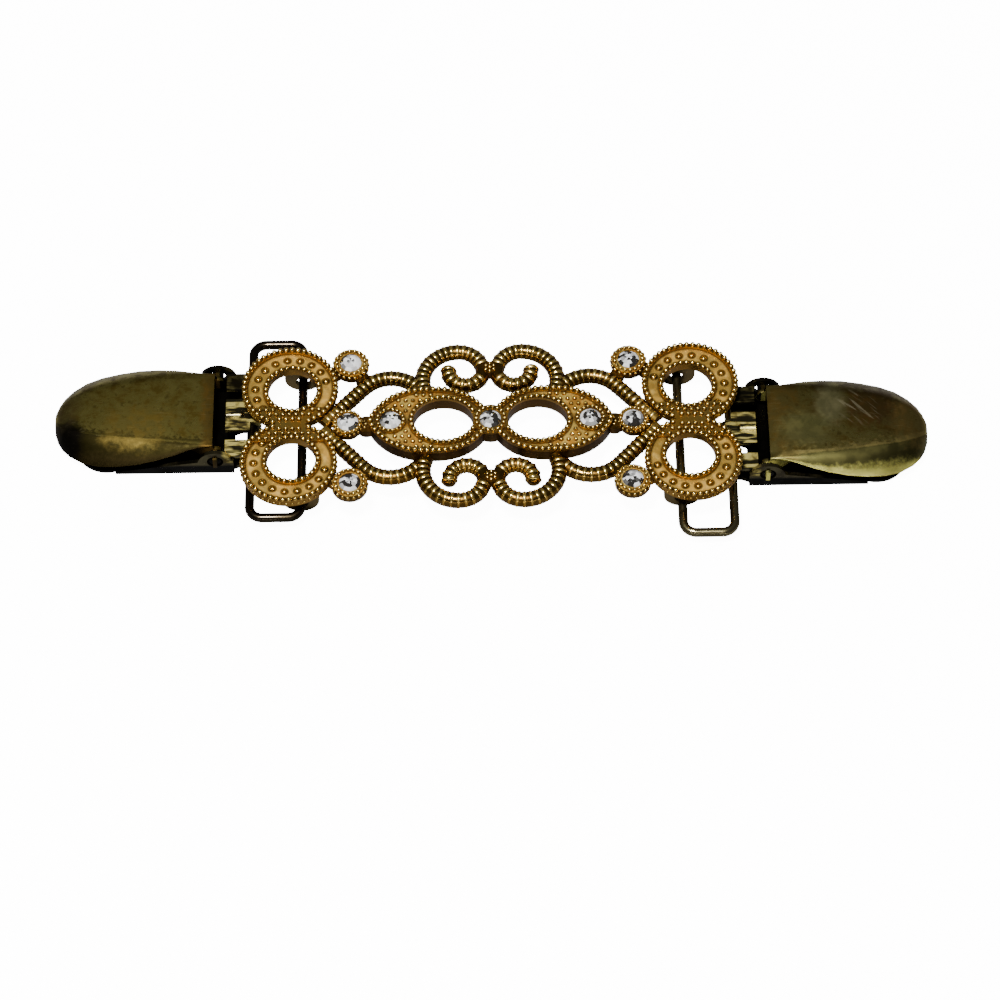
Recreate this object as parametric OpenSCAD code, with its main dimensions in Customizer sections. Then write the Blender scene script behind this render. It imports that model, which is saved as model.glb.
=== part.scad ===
// Sweater clip: a cast openwork ornament with nine cut stones between two lever clips.
// Each clip folds round a wire link, and each link hangs in two lugs on the ornament's back.
// X runs along the clip, Z is up, and Z = 0 is the surface that it lies on.

/* [Ornament eyes] */
// Distance between the middles of the two eye-shaped holes
eye_pitch = 16.0; // [15.4:0.2:17.2]
// Length of an eye hole
eye_hole_l = 10.2; // [9.2:0.2:10.8]
// Width of an eye hole
eye_hole_w = 8.5; // [7.4:0.1:9.2]
// Width of metal beside an eye hole where it is widest
eye_band = 2.45; // [2.1:0.05:3.0]
// Distance from the middle of an eye hole to the outer point
eye_point = 12.9; // [12.4:0.1:14.0]
// Thickness of the eyes up to their raised rims
eye_h = 2.8; // [2.5:0.1:3.4]
// Height of the raised rims above the sunk field
rim_rise = 0.35; // [0.2:0.05:0.5]
// Width of the raised rims
rim_w = 0.85; // [0.6:0.05:1.0]

/* [Ornament scrolls] */
// Width of a scroll bar
scroll_w = 2.6; // [2.3:0.1:2.9]
// Thickness of a scroll bar
scroll_h = 1.8; // [1.6:0.1:2.1]
// Radius of a scroll's wide outer bend, to the middle of its bar
scroll_r = 6.15; // [5.9:0.05:6.6]
// Radius of a scroll's turn at the middle of the ornament
scroll_turn_r = 4.2; // [3.9:0.1:4.6]
// Radius of a scroll's inner curl
scroll_curl_r = 2.95; // [2.7:0.05:3.2]
// Width of a strand bar between an eye and a loop
strand_w = 2.6; // [2.3:0.1:2.9]
// Thickness of a strand bar
strand_h = 1.7; // [1.5:0.1:2.0]
// Bend radius of a strand, to the middle of its bar
strand_r = 6.2; // [5.8:0.1:6.6]

/* [Ornament loops] */
// Outer radius of a loop
loop_r = 8.15; // [7.8:0.05:8.6]
// Radius of the hole in a loop
loop_hole_r = 4.15; // [3.8:0.05:4.6]
// Thickness of a loop up to its rims
loop_h = 1.45; // [1.3:0.05:1.9]
// Depth of the channel between a loop's rims
channel_depth = 0.45; // [0.3:0.05:0.6]
// Number of domed pips in a loop's channel
pip_count = 11; // [8:1:12]
// Diameter of a pip
pip_d = 1.2; // [0.9:0.05:1.3]

/* [Stones] */
// Diameter of a stone
stone_d = 3.6; // [3.2:0.1:3.9]
// Height of a stone's crown above its girdle
stone_crown = 0.62; // [0.4:0.02:0.8]
// Depth of a stone below its girdle
stone_depth = 1.35; // [1.0:0.05:1.5]
// Wall of the four corner cups
corner_cup_wall = 1.2; // [1.0:0.05:1.4]
// Wall of the cups and collars along the middle line
cup_wall = 0.72; // [0.6:0.02:0.85]
// Gap between a stone and its seat
stone_fit = 0.06; // [0.04:0.01:0.1]

/* [Lugs] */
// Width of a lug
lug_w = 6.3; // [5.6:0.1:7.0]
// Thickness of a lug
lug_t = 1.0; // [0.8:0.1:1.4]
// Height of the lug holes and of the link wires above the surface
pin_z = 2.4; // [2.3:0.05:2.6]
// Clearance between a link wire and its lug hole
lug_fit = 0.5; // [0.3:0.05:0.6]
// Height of the ornament's loops above the surface
stand_h = 5.6; // [5.5:0.1:6.2]

/* [Links] */
// Wire diameter of a link
link_wire = 1.6; // [1.4:0.05:1.75]
// Distance between a link's two long bars
link_pitch = 8.7; // [8.4:0.1:9.6]
// Bend radius at a link's corners, to the middle of the wire
link_corner_r = 2.2; // [1.8:0.1:2.8]
// Free travel of a link along its lugs, each way
link_play = 2.8; // [2.3:0.1:3.5]
// How far each link lies slid off the middle, the two in opposite ways
link_slide = 2.1; // [0:0.1:2.2]
// How far each clip lies slid along its link
clip_slide = 2.2; // [0:0.1:3.0]

/* [Clip base] */
// Sheet thickness of the clips
sheet = 0.7; // [0.6:0.05:0.8]
// Width of a clip base over its ears
base_w = 18.6; // [18.0:0.2:19.6]
// Distance from the link bar to the base's tip
base_l = 30.2; // [28.8:0.2:31.0]
// Clearance between a link bar and the fold round it
fold_fit = 0.2; // [0.15:0.05:0.3]
// Length of the folded fingers past the link bar
finger_l = 4.4; // [4.0:0.05:4.5]
// Width of the middle finger
finger_w = 6.4; // [5.8:0.1:7.0]
// Width of the slots between the fingers
finger_slot = 2.1; // [1.8:0.1:2.4]
// Width of an ear along the clip
ear_w = 6.1; // [5.6:0.1:6.4]
// Height of an ear
ear_h = 5.7; // [5.6:0.05:6.2]
// Height of the side rail beside the ear
rail_h = 3.1; // [2.4:0.1:3.3]
// Corner radius at the base's tip
tip_r = 5.5; // [4.5:0.1:6.5]

/* [Clip lever] */
// Distance from the link bar to the lever's pivot
pivot_x = 6.0; // [6.0:0.05:6.4]
// Height of the lever's pivot above the surface
pivot_z = 3.3; // [3.2:0.05:3.4]
// How far the cover's tip reaches past the base's tip
tip_past = 3.5; // [2.8:0.1:4.6]
// Greatest width of the cover
cover_w = 19.8; // [19.0:0.2:20.4]
// Width of the cover's straight end at the pivot
cover_end_w = 15.3; // [14.9:0.1:15.5]
// Height of the cover's flat top above the surface
cover_z = 5.9; // [5.8:0.05:6.1]
// Radius of the ear holes
ear_hole_r = 1.4; // [1.3:0.05:1.5]
// Clearance between a tang and its ear hole
tang_fit = 0.25; // [0.15:0.05:0.35]

/* [Grip pad] */
// Length of the grip pad
pad_l = 7.6; // [6.4:0.2:8.4]
// Width of the grip pad
pad_w = 14.4; // [12.0:0.2:15.0]
// Height of the grip pad above the surface
pad_z = 2.5; // [2.2:0.1:2.7]
// Number of ridges across the pad
pad_ridges = 4; // [2:1:5]

/* [Hidden] */
$fn = 64;

// How far neighbouring pieces of the casting run into each other
bite = 0.4;
// Small run past a face when cutting
past = 0.5;
// How much slimmer each next bend of a scroll is, and its turn inside the last one
slimmer = 0.06;
overlap = 2;

// How far below the loops' underside each piece of the casting reaches
eye_sink = 0.6;
cup_sink = 0.5;
strand_sink = 0.4;
scroll_sink = 0.1;

// Eyes: outline with its widest point a little past the middle of the hole
eye_crest_off = 1.9;
eye_x = eye_pitch / 2;
eye_half = eye_hole_w / 2 + eye_band;
eye_crest_x = eye_x + eye_crest_off;
eye_tip_x = eye_x + eye_point;
eye_z = stand_h - eye_sink;
eye_top = eye_z + eye_h;

// Scrolls: the wide bend springs from the eye's edge at this angle below its middle line
scroll_root = 25;
scroll_z = stand_h - scroll_sink;
scroll_x = scroll_turn_r + scroll_w / 2 - bite / 4;
scroll_y = eye_half + scroll_r * sin(scroll_root);
scroll_crest_y = scroll_y + scroll_r;
scroll_turn_y = scroll_crest_y - scroll_turn_r;
scroll_curl_x = scroll_x - scroll_turn_r + scroll_curl_r;

// Strands: a bend that springs from the eye's shoulder, then a straight run to the loops
// that stops short of the middle line
strand_root = 150;
strand_drop = 48;
strand_spring = [1.75, 0.5];
strand_stop = 0.6;
strand_z = stand_h - strand_sink;
strand_x = eye_crest_x + strand_spring[0] - strand_r * cos(strand_root);
strand_y = eye_half + strand_spring[1] - strand_r * sin(strand_root);
run_x = strand_x + strand_r * sin(strand_drop);
run_y = strand_y + strand_r * cos(strand_drop);
run_l = (run_y - strand_stop) / sin(strand_drop);

// Loops: two rings that run into each other on the middle line and bite into the strand runs.
// Their holes lie a little off their middles, towards the eyes and the middle line.
loop_hole_off = [0.45, 0.5];
loop_y = loop_r - bite;
loop_to_run = loop_r + strand_w / 2 - bite;
loop_x = run_x + (loop_to_run - (loop_y - run_y) * cos(strand_drop)) / sin(strand_drop);
loop_top = stand_h + loop_h;
loop_hole_x = loop_x - loop_hole_off[0];
loop_hole_y = loop_y - loop_hole_off[1];
loop_mid_x = (loop_x + loop_hole_x) / 2;
loop_mid_y = (loop_y + loop_hole_y) / 2;
loop_mid_r = (loop_r + loop_hole_r) / 2;
channel_floor = loop_top - channel_depth;
// Directions of a loop's first and last pip
pip_first = -39;
pip_last = 164;

// Stones and their cups
cup_gap = 0.8;
eye_stone_back = 3.9;
rim_low = 0.05;
stone_r = stone_d / 2;
girdle_t = 0.1;
corner_cup_r = stone_r + stone_fit + corner_cup_wall;
cup_r = stone_r + stone_fit + cup_wall;
cup_z = stand_h - cup_sink;
cup_h = 2.4;
cup_top = cup_z + cup_h;
cup_girdle = cup_top - rim_low;
collar_top = eye_top + 2 * rim_low;
eye_girdle = collar_top - rim_low;
cup_x = eye_tip_x + cup_gap + cup_r;
eye_stone_x = eye_tip_x - eye_stone_back;
// Corner cups stand this far off the loop and the strand, on a small web of metal
cup_off = 0.2;
web_r = 1.2;
point_web_r = 1.7;
to_loop = loop_r + corner_cup_r + cup_off;
to_strand = strand_r + strand_w / 2 + corner_cup_r + cup_off;
between = norm([loop_x - strand_x, loop_y - strand_y]);
toward = [loop_x - strand_x, loop_y - strand_y] / between;
along = (to_strand * to_strand - to_loop * to_loop + between * between) / (2 * between);
aside = sqrt(to_strand * to_strand - along * along);
corner = [strand_x, strand_y] + along * toward + aside * [-toward[1], toward[0]];

// Lugs hang under the outer part of the loops, just clear of the loop holes
lug_back = 2.0;
lug_clear = 0.7;
lug_x = loop_x - lug_back;
lug_y = loop_hole_y + loop_hole_r + lug_clear + lug_t / 2;
lug_hole_r = link_wire / 2 + lug_fit;

// Links
link_half = lug_y + lug_t / 2 + link_play + link_corner_r;
bar_x = lug_x + link_pitch;

// Clip base, drawn from the middle of its link bar
fold_in_r = link_wire / 2 + fold_fit;
fold_out_r = fold_in_r + sheet;
leaf_z = pin_z + fold_in_r;
root_z = pin_z - fold_out_r;
finger_root_w = finger_w / 2;
// The sheet steps down from the fold to the plate between these distances from the bar
step_from = 1.6;
step_to = 2.9;
rib_x = 1.9;
rib_r = 0.8;
ear_x = pivot_x - 0.05;
ear_round = ear_w / 2;
wall_y = base_w / 2 - sheet;
outer_finger_y = finger_w / 2 + finger_slot;
rail_back = 8.2;
rail_end_x = base_l - rail_back;
rail_low = sheet + 0.2;
// The plate's tip is this much narrower than its sides, each way
tip_inset = 0.3;

// Lever, drawn from the middle of its link bar
cover_x = pivot_x + 0.4;
cover_l = base_l + tip_past - cover_x;
tang_r = ear_hole_r - tang_fit;
foot_short = 0.15;
cheek_y = cover_end_w / 2 - 0.05;
cheek_top = 0.89 * cover_z;
tang_end = base_w / 2 + 0.45;
lip_low = pivot_z - 1.1;
crown_rise = 0.12;

// Grip pad
pad_gap = 0.05;
pad_back = 2.3;
pad_x = base_l - pad_l - pad_back;
ridge_r = 0.45;

// Half outline of an eye as a share of its half width, for t from -1 at the middle to 1 at the point
function eye_share(t) = pow(max(0, 1 - pow(abs(t), 2.5)), 0.71);

// Points of an eye's outline, drawn in by a margin all round, and more at its two points
function eye_outline(margin, steps = 28) =
    let (half = eye_half - margin,
         outward = eye_tip_x - eye_crest_x - 1.35 * margin,
         inward = eye_crest_x + 0.1 - 1.2 * margin,
         shares = [for (i = [0 : steps]) cos(180 * i / steps)],
         back = [for (t = shares) [eye_crest_x + t * (t > 0 ? outward : inward), half * eye_share(t)]])
    concat(back, [for (i = [steps - 1 : -1 : 1]) [back[i][0], -back[i][1]]]);

function oval(a, b, steps = 48) =
    [for (i = [0 : steps - 1]) [a * cos(360 * i / steps), b * sin(360 * i / steps)]];

// Copies of its children on both sides of the middle line, front and back
module front_and_back() {
    children();
    mirror([0, 1, 0]) children();
}

// Copies of its children at both ends
module both_ends() {
    children();
    mirror([1, 0, 0]) children();
}

// Section of a cast bar: a flat back, straight sides and a round crest
module bar_section(w, h) {
    intersection() {
        union() {
            translate([0, h - w / 2]) circle(d = w);
            translate([-w / 2, 0]) square([w, h - w / 2]);
        }
        translate([-w / 2, 0]) square([w, h]);
    }
}

module bar_bend(r, from, sweep, w, h) {
    rotate([0, 0, from]) rotate_extrude(angle = sweep) translate([r, 0]) bar_section(w, h);
}

// Round end that closes a bar coming from below along Y
module bar_end(w, h) {
    rotate_extrude(angle = 180) intersection() {
        bar_section(w, h);
        square([w, h]);
    }
}

module bar_run(length, w, h) {
    rotate([90, 0, 90]) linear_extrude(length) bar_section(w, h);
}

// Two eyes side by side, each with raised rims round its outline and round its hole
module eyes() {
    both_ends() difference() {
        union() {
            translate([0, 0, eye_z]) linear_extrude(eye_h - rim_rise) polygon(eye_outline(0));
            translate([0, 0, eye_z]) linear_extrude(eye_h) difference() {
                polygon(eye_outline(0));
                polygon(eye_outline(rim_w));
            }
            translate([eye_x, 0, eye_z]) linear_extrude(eye_h)
                polygon(oval(eye_hole_l / 2 + rim_w, eye_hole_w / 2 + rim_w));
        }
        translate([eye_x, 0, eye_z - past]) linear_extrude(eye_h + 2 * past)
            polygon(oval(eye_hole_l / 2, eye_hole_w / 2));
    }
}

// One scroll: wide bend, turn at the middle of the ornament, inner curl and round tip.
// Each bend is a little slimmer than the one before, and starts inside its end.
module scroll() {
    w = [for (k = [0 : 2]) scroll_w - k * slimmer];
    h = [for (k = [0 : 2]) scroll_h - k * slimmer];
    translate([scroll_x, scroll_y, scroll_z])
        bar_bend(scroll_r, -scroll_root, 90 + scroll_root, w[0], h[0]);
    translate([scroll_x, scroll_turn_y, scroll_z + slimmer / 2])
        bar_bend(scroll_turn_r, 90 - overlap, 90 + overlap, w[1], h[1]);
    translate([scroll_curl_x, scroll_turn_y, scroll_z + slimmer])
        bar_bend(scroll_curl_r, 180 - overlap, 180 + overlap, w[2], h[2]);
    translate([scroll_curl_x + scroll_curl_r, scroll_turn_y, scroll_z + slimmer])
        bar_end(w[2], h[2]);
}

// Small lozenge of metal that joins two scrolls
module scroll_joint() {
    translate([0, scroll_turn_y, scroll_z]) cylinder(d = scroll_w, h = scroll_h - 0.15);
}

// Strand: a bend, and a slightly slimmer straight run that starts inside the bend's end
module strand() {
    translate([strand_x, strand_y, strand_z])
        bar_bend(strand_r, 90 - strand_drop, strand_root + strand_drop - 90, strand_w, strand_h);
    translate([run_x, run_y, strand_z + slimmer / 2]) rotate([0, 0, -strand_drop])
        translate([-bite, 0, 0]) bar_run(run_l + bite, strand_w - slimmer, strand_h - slimmer);
}

// Channel of a loop, between its two rims, open only outside the band that the loops share
module channel() {
    band = loop_hole_y - loop_hole_r + bite;
    difference() {
        translate([loop_x, loop_y, channel_floor]) cylinder(r = loop_r - rim_w, h = channel_depth + past);
        translate([loop_hole_x, loop_hole_y, channel_floor - past])
            cylinder(r = loop_hole_r + rim_w, h = channel_depth + 3 * past);
        translate([loop_x - 2 * loop_r, -loop_r, channel_floor - past])
            cube([4 * loop_r, loop_r + band, channel_depth + 3 * past]);
    }
}

module pips() {
    for (i = [0 : pip_count - 1]) {
        turn = pip_first + (pip_last - pip_first) * i / (pip_count - 1);
        translate([loop_mid_x, loop_mid_y, channel_floor - pip_d / 6])
            rotate([0, 0, turn]) translate([loop_mid_r, 0, 0]) sphere(d = pip_d, $fn = 24);
    }
}

module loops() {
    difference() {
        front_and_back() translate([loop_x, loop_y, stand_h]) cylinder(r = loop_r, h = loop_h);
        front_and_back() translate([loop_hole_x, loop_hole_y, stand_h - past])
            cylinder(r = loop_hole_r, h = loop_h + 2 * past);
        front_and_back() channel();
    }
    front_and_back() pips();
}

// Hanging ear with a round hole for a link bar
module lug() {
    translate([lug_x, lug_y + lug_t / 2, 0]) rotate([90, 0, 0]) linear_extrude(lug_t) difference() {
        union() {
            translate([0, lug_w / 2]) circle(d = lug_w);
            translate([-lug_w / 2, lug_w / 2]) square([lug_w, stand_h + 0.3 - lug_w / 2]);
        }
        translate([0, pin_z]) circle(r = lug_hole_r);
    }
}

// Turned cup: narrow foot, full belly and slightly drawn-in rim
module cup_body(r) {
    foot = 0.82 * r;
    rim = 0.93 * r;
    rotate_extrude()
        polygon([[0, 0], [foot, 0], [r, 0.35 * cup_h], [r, 0.7 * cup_h], [rim, cup_h], [0, cup_h]]);
}

// Seat for a stone: a short bore at the girdle over a cone
module seat_at(x, y, girdle) {
    r = stone_r + stone_fit;
    depth = stone_depth + stone_fit;
    translate([x, y, girdle - girdle_t]) cylinder(r = r, h = girdle_t + past);
    translate([x, y, girdle - girdle_t - depth]) cylinder(r1 = girdle_t, r2 = r, h = depth);
}

// Small discs of metal that join a corner cup to its loop and strand, and a middle cup to the strand
module webs() {
    web_h = strand_h - 0.3;
    toward_loop = ([loop_x, loop_y] - corner) / to_loop;
    toward_strand = ([strand_x, strand_y] - corner) / to_strand;
    for (way = [toward_loop, toward_strand])
        translate([corner[0] + corner_cup_r * way[0], corner[1] + corner_cup_r * way[1], strand_z])
            cylinder(r = web_r, h = web_h);
    // Half way between the middle cup's wall and the near side of the strand's run
    reach = (run_x - cup_x) * sin(strand_drop) + run_y * cos(strand_drop);
    half_way = (reach + cup_r - strand_w / 2) / 2;
    translate([cup_x + half_way * sin(strand_drop), half_way * cos(strand_drop), strand_z])
        cylinder(r = 0.8 * web_r, h = web_h);
}

module ornament_panel() {
    color("#b98a2e") difference() {
        union() {
            eyes();
            both_ends() front_and_back() {
                scroll();
                strand();
                lug();
                webs();
                translate([corner[0], corner[1], cup_z]) cup_body(corner_cup_r);
            }
            front_and_back() scroll_joint();
            both_ends() {
                loops();
                translate([cup_x, 0, cup_z]) cup_body(cup_r);
                translate([eye_tip_x + 0.2, 0, strand_z]) cylinder(r = point_web_r, h = strand_h - 0.2);
                translate([eye_stone_x, 0, eye_z + past])
                    cylinder(r = cup_r, h = collar_top - eye_z - past);
            }
            translate([0, 0, eye_z]) cylinder(r = cup_r + 0.35, h = collar_top - eye_z);
        }
        seat_at(0, 0, eye_girdle);
        both_ends() {
            seat_at(eye_stone_x, 0, eye_girdle);
            seat_at(cup_x, 0, cup_girdle);
            front_and_back() seat_at(corner[0], corner[1], cup_girdle);
        }
    }
}

// Round cut stone with its girdle at Z = 0: table, 8 star, 8 kite and 16 edge facets over a pointed back
module stone() {
    n = 8;
    step = 360 / n;
    table_r = 0.55 * stone_r;
    mid_r = 0.8 * stone_r;
    // Height at which the kites stay flat
    mid_z = stone_crown * (stone_r - mid_r * cos(step / 2)) / (stone_r - table_r);
    points = concat(
        [for (i = [0 : n - 1]) [table_r * cos(step * i), table_r * sin(step * i), stone_crown]],
        [for (i = [0 : n - 1]) [mid_r * cos(step * (i + 0.5)), mid_r * sin(step * (i + 0.5)), mid_z]],
        [for (i = [0 : 2 * n - 1]) [stone_r * cos(step * i / 2), stone_r * sin(step * i / 2), 0]],
        [for (i = [0 : 2 * n - 1]) [stone_r * cos(step * i / 2), stone_r * sin(step * i / 2), -girdle_t]],
        [[0, 0, -stone_depth]]);
    mid = n;
    top = 2 * n;
    low = 4 * n;
    culet = 6 * n;
    faces = concat(
        [[for (i = [n - 1 : -1 : 0]) i]],
        [for (i = [0 : n - 1]) [i, (i + 1) % n, mid + i]],
        [for (i = [0 : n - 1]) [i, mid + i, top + 2 * i]],
        [for (i = [0 : n - 1]) [i, top + 2 * i, mid + (i + n - 1) % n]],
        [for (i = [0 : n - 1]) [mid + i, top + 2 * i + 1, top + 2 * i]],
        [for (i = [0 : n - 1]) [mid + i, top + (2 * i + 2) % (2 * n), top + 2 * i + 1]],
        [for (i = [0 : 2 * n - 1]) [top + i, top + (i + 1) % (2 * n), low + (i + 1) % (2 * n), low + i]],
        [for (i = [0 : 2 * n - 1]) [low + i, low + (i + 1) % (2 * n), culet]]);
    polyhedron(points, faces);
}

module placed_stone(x, y, girdle) {
    color("#e8eef2") translate([x, y, girdle]) stone();
}

module stone_centre() { placed_stone(0, 0, eye_girdle); }
module stone_eye_left() { placed_stone(-eye_stone_x, 0, eye_girdle); }
module stone_eye_right() { placed_stone(eye_stone_x, 0, eye_girdle); }
module stone_cup_left() { placed_stone(-cup_x, 0, cup_girdle); }
module stone_cup_right() { placed_stone(cup_x, 0, cup_girdle); }
module stone_back_left() { placed_stone(-corner[0], corner[1], cup_girdle); }
module stone_back_right() { placed_stone(corner[0], corner[1], cup_girdle); }
module stone_front_left() { placed_stone(-corner[0], -corner[1], cup_girdle); }
module stone_front_right() { placed_stone(corner[0], -corner[1], cup_girdle); }

// Rounded rectangle of wire with its inner bar at the origin
module link() {
    straight = 2 * (link_half - link_corner_r);
    for (x = [0, link_pitch])
        translate([x, straight / 2, 0]) rotate([90, 0, 0]) cylinder(d = link_wire, h = straight);
    for (y = [-link_half, link_half])
        translate([link_corner_r, y, 0]) rotate([0, 90, 0])
            cylinder(d = link_wire, h = link_pitch - 2 * link_corner_r);
    for (side = [0, 1], end = [0, 1])
        translate([side == 0 ? link_corner_r : link_pitch - link_corner_r,
                   (end == 0 ? 1 : -1) * (link_half - link_corner_r), 0])
            rotate([0, 0, side == 0 ? 90 + 90 * end : 270 * end])
                rotate_extrude(angle = 90) translate([link_corner_r, 0]) circle(d = link_wire);
}

module placed_link(slide) {
    color("#5a5330") translate([lug_x, slide, pin_z]) link();
}

module link_right() { placed_link(-link_slide); }
module link_left() { mirror([1, 0, 0]) placed_link(link_slide); }

// Side view of the sheet that turns round the link bar: returning leaf, fold and stepped root
module fold_ring() {
    difference() {
        union() {
            translate([0, pin_z]) circle(r = fold_out_r);
            translate([0, leaf_z]) square([1, sheet]);
            polygon([[0, root_z], [step_from, root_z], [step_to, 0], [step_to + 2 * sheet, 0],
                     [step_to + 2 * sheet, sheet], [step_to + sheet / 2, sheet],
                     [step_from + sheet / 2, root_z + sheet], [0, root_z + sheet]]);
        }
        translate([0, pin_z]) circle(r = fold_in_r);
        translate([0, pin_z - fold_in_r]) square([1.4 * fold_out_r, 2 * fold_in_r]);
    }
}

module across(y_from, y_to) {
    translate([0, y_to, 0]) rotate([90, 0, 0]) linear_extrude(y_to - y_from) children();
}

module fingers() {
    across(-finger_root_w / 2, finger_root_w / 2) fold_ring();
    across(-finger_w / 2, finger_w / 2) translate([0.2, leaf_z]) square([finger_l - 0.2, sheet]);
    front_and_back() across(outer_finger_y, wall_y) {
        fold_ring();
        translate([0.2, leaf_z]) square([finger_l - 0.2, sheet]);
    }
    // Stiffening rib pressed up along the middle finger
    intersection() {
        translate([rib_x, 0, leaf_z + sheet / 2]) {
            rotate([0, 90, 0]) cylinder(r = rib_r, h = finger_l - rib_x - 0.1);
            sphere(r = rib_r);
        }
        translate([0, -finger_w / 2, leaf_z + 0.1]) cube([finger_l, finger_w, 2 * sheet]);
    }
}

// Plate of the base from the step to the tip with its two round corners
module base_plan() {
    corner_x = base_l - tip_r;
    corner_y = base_w / 2 - tip_inset - tip_r;
    translate([step_to, -base_w / 2]) square([corner_x - step_to - 1.5, base_w]);
    translate([corner_x - tip_r, -corner_y]) square([2 * tip_r, 2 * corner_y]);
    for (side = [-1, 1]) translate([corner_x, side * corner_y]) circle(r = tip_r);
}

// Side view of an ear with its pivot hole and the rail that runs down towards the tip
module ear() {
    difference() {
        union() {
            intersection() {
                translate([ear_x, ear_h - ear_round]) circle(r = ear_round);
                translate([ear_x - ear_round, 0]) square([ear_w, ear_h]);
            }
            translate([ear_x - ear_round, 0]) square([ear_w, ear_h - ear_round]);
            polygon([[ear_x, 0], [rail_end_x, 0], [rail_end_x, rail_low],
                     [ear_x + ear_round, rail_h], [ear_x, rail_h]]);
        }
        translate([pivot_x, pivot_z]) circle(r = ear_hole_r);
    }
}

module clip_base() {
    color("#6b6236") {
        linear_extrude(sheet) base_plan();
        fingers();
        front_and_back() across(wall_y, base_w / 2) ear();
    }
}

module placed_clip(slide) {
    translate([bar_x, slide, 0]) children();
}

module clip_base_right() { placed_clip(clip_slide - link_slide) clip_base(); }
module clip_base_left() { mirror([1, 0, 0]) placed_clip(clip_slide + link_slide) clip_base(); }

// Plastic block with half-round ridges across the jaw
module grip_pad() {
    color("#c9c7bd") translate([pad_x, -pad_w / 2, 0]) {
        translate([0, 0, sheet + pad_gap]) cube([pad_l, pad_w, pad_z - sheet - pad_gap]);
        for (i = [0 : pad_ridges - 1])
            translate([pad_l * (i + 0.5) / pad_ridges, 0, pad_z]) rotate([-90, 0, 0])
                cylinder(r = ridge_r, h = pad_w);
    }
}

module grip_pad_right() { placed_clip(clip_slide - link_slide) grip_pad(); }
module grip_pad_left() { mirror([1, 0, 0]) placed_clip(clip_slide + link_slide) grip_pad(); }

// Sections of the cover from the pivot end to the tip. Distances are shares of the cover's length,
// widths are shares of its half width, and heights are shares of its height above the surface.
cover_sections = [
    // along, edge width, crease width, edge height, crease height
    [0.00, 0.773, 0.742, 0.955, 0.968],
    [0.08, 0.785, 0.742, 0.935, 0.985],
    [0.16, 0.840, 0.732, 0.885, 0.995],
    [0.25, 0.910, 0.715, 0.805, 1.000],
    [0.36, 0.968, 0.690, 0.705, 1.000],
    [0.48, 1.000, 0.655, 0.600, 0.995],
    [0.60, 0.990, 0.605, 0.495, 0.975],
    [0.72, 0.945, 0.540, 0.410, 0.930],
    [0.82, 0.850, 0.460, 0.355, 0.865],
    [0.90, 0.700, 0.365, 0.320, 0.780],
    [0.95, 0.550, 0.275, 0.300, 0.690],
    [0.98, 0.400, 0.195, 0.290, 0.600],
    [1.00, 0.220, 0.110, 0.285, 0.500]];
ALONG = 0;
EDGE_W = 1;
CREASE_W = 2;
EDGE_Z = 3;
CREASE_Z = 4;

// One section of the cover: seven points from the middle to the edge, on the outer or inner face
function cover_half(s, inner) =
    let (half = cover_w / 2,
         edge = s[EDGE_W] * half - (inner ? 1.1 * sheet : 0),
         crease = min(s[CREASE_W] * half - (inner ? 0.35 * sheet : 0), edge - 0.15),
         low = s[EDGE_Z] * cover_z,
         high = s[CREASE_Z] * cover_z - (inner ? sheet : 0),
         low_z = inner ? min(low, high - 0.05) : low)
    [[0, high + crown_rise], [crease * 0.5, high + 0.75 * crown_rise],
     [crease * 0.85, high + 0.25 * crown_rise], [crease, high - crown_rise / 3],
     [crease + (edge - crease) * 0.35, high - (high - low_z) * 0.27],
     [crease + (edge - crease) * 0.72, high - (high - low_z) * 0.63], [edge, low_z]];

// The whole section, from one edge over the middle to the other
function cover_ring(s, inner) =
    let (h = cover_half(s, inner), x = cover_x + s[ALONG] * (cover_l - (inner ? sheet : 0)))
    concat([for (i = [6 : -1 : 1]) [x, -h[i][0], h[i][1]]], [for (p = h) [x, p[0], p[1]]]);

// Sheet cover: an outer and an inner skin joined along the edge and closed at both ends
module cover_shell() {
    rows = len(cover_sections);
    outer = [for (s = cover_sections) each cover_ring(s, false)];
    inner = [for (s = cover_sections) each cover_ring(s, true)];
    wide = len(outer) / rows;
    under = rows * wide;
    tip = (rows - 1) * wide;
    starts = [for (r = [0 : rows - 2]) r * wide];
    quads = concat(
        [for (a = starts, i = [a : a + wide - 2]) [i, i + 1, i + wide + 1, i + wide]],
        [for (a = starts, i = [a + under : a + under + wide - 2]) [i, i + wide, i + wide + 1, i + 1]],
        [for (a = starts) [a, a + wide, under + a + wide, under + a]],
        [for (a = starts, i = a + wide - 1) [i, under + i, under + i + wide, i + wide]],
        [for (i = [0 : wide - 2]) [i, under + i, under + i + 1, i + 1]],
        [for (i = [tip : tip + wide - 2]) [i, i + 1, under + i + 1, under + i]]);
    triangles = [for (q = quads) each [[q[0], q[1], q[2]], [q[0], q[2], q[3]]]];
    polyhedron(concat(outer, inner), triangles);
}

// Side view of a cheek that drops from the cover to the pivot
module cheek() {
    foot_r = 1.3;
    translate([pivot_x, pivot_z]) circle(r = foot_r);
    polygon([[pivot_x, pivot_z + foot_r - 0.1], [cover_x, cheek_top], [cover_x + 4.2, cheek_top],
             [cover_x + 2.2, pivot_z - 0.2], [pivot_x + foot_r / 2, lip_low], [pivot_x, pivot_z]]);
}

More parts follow.
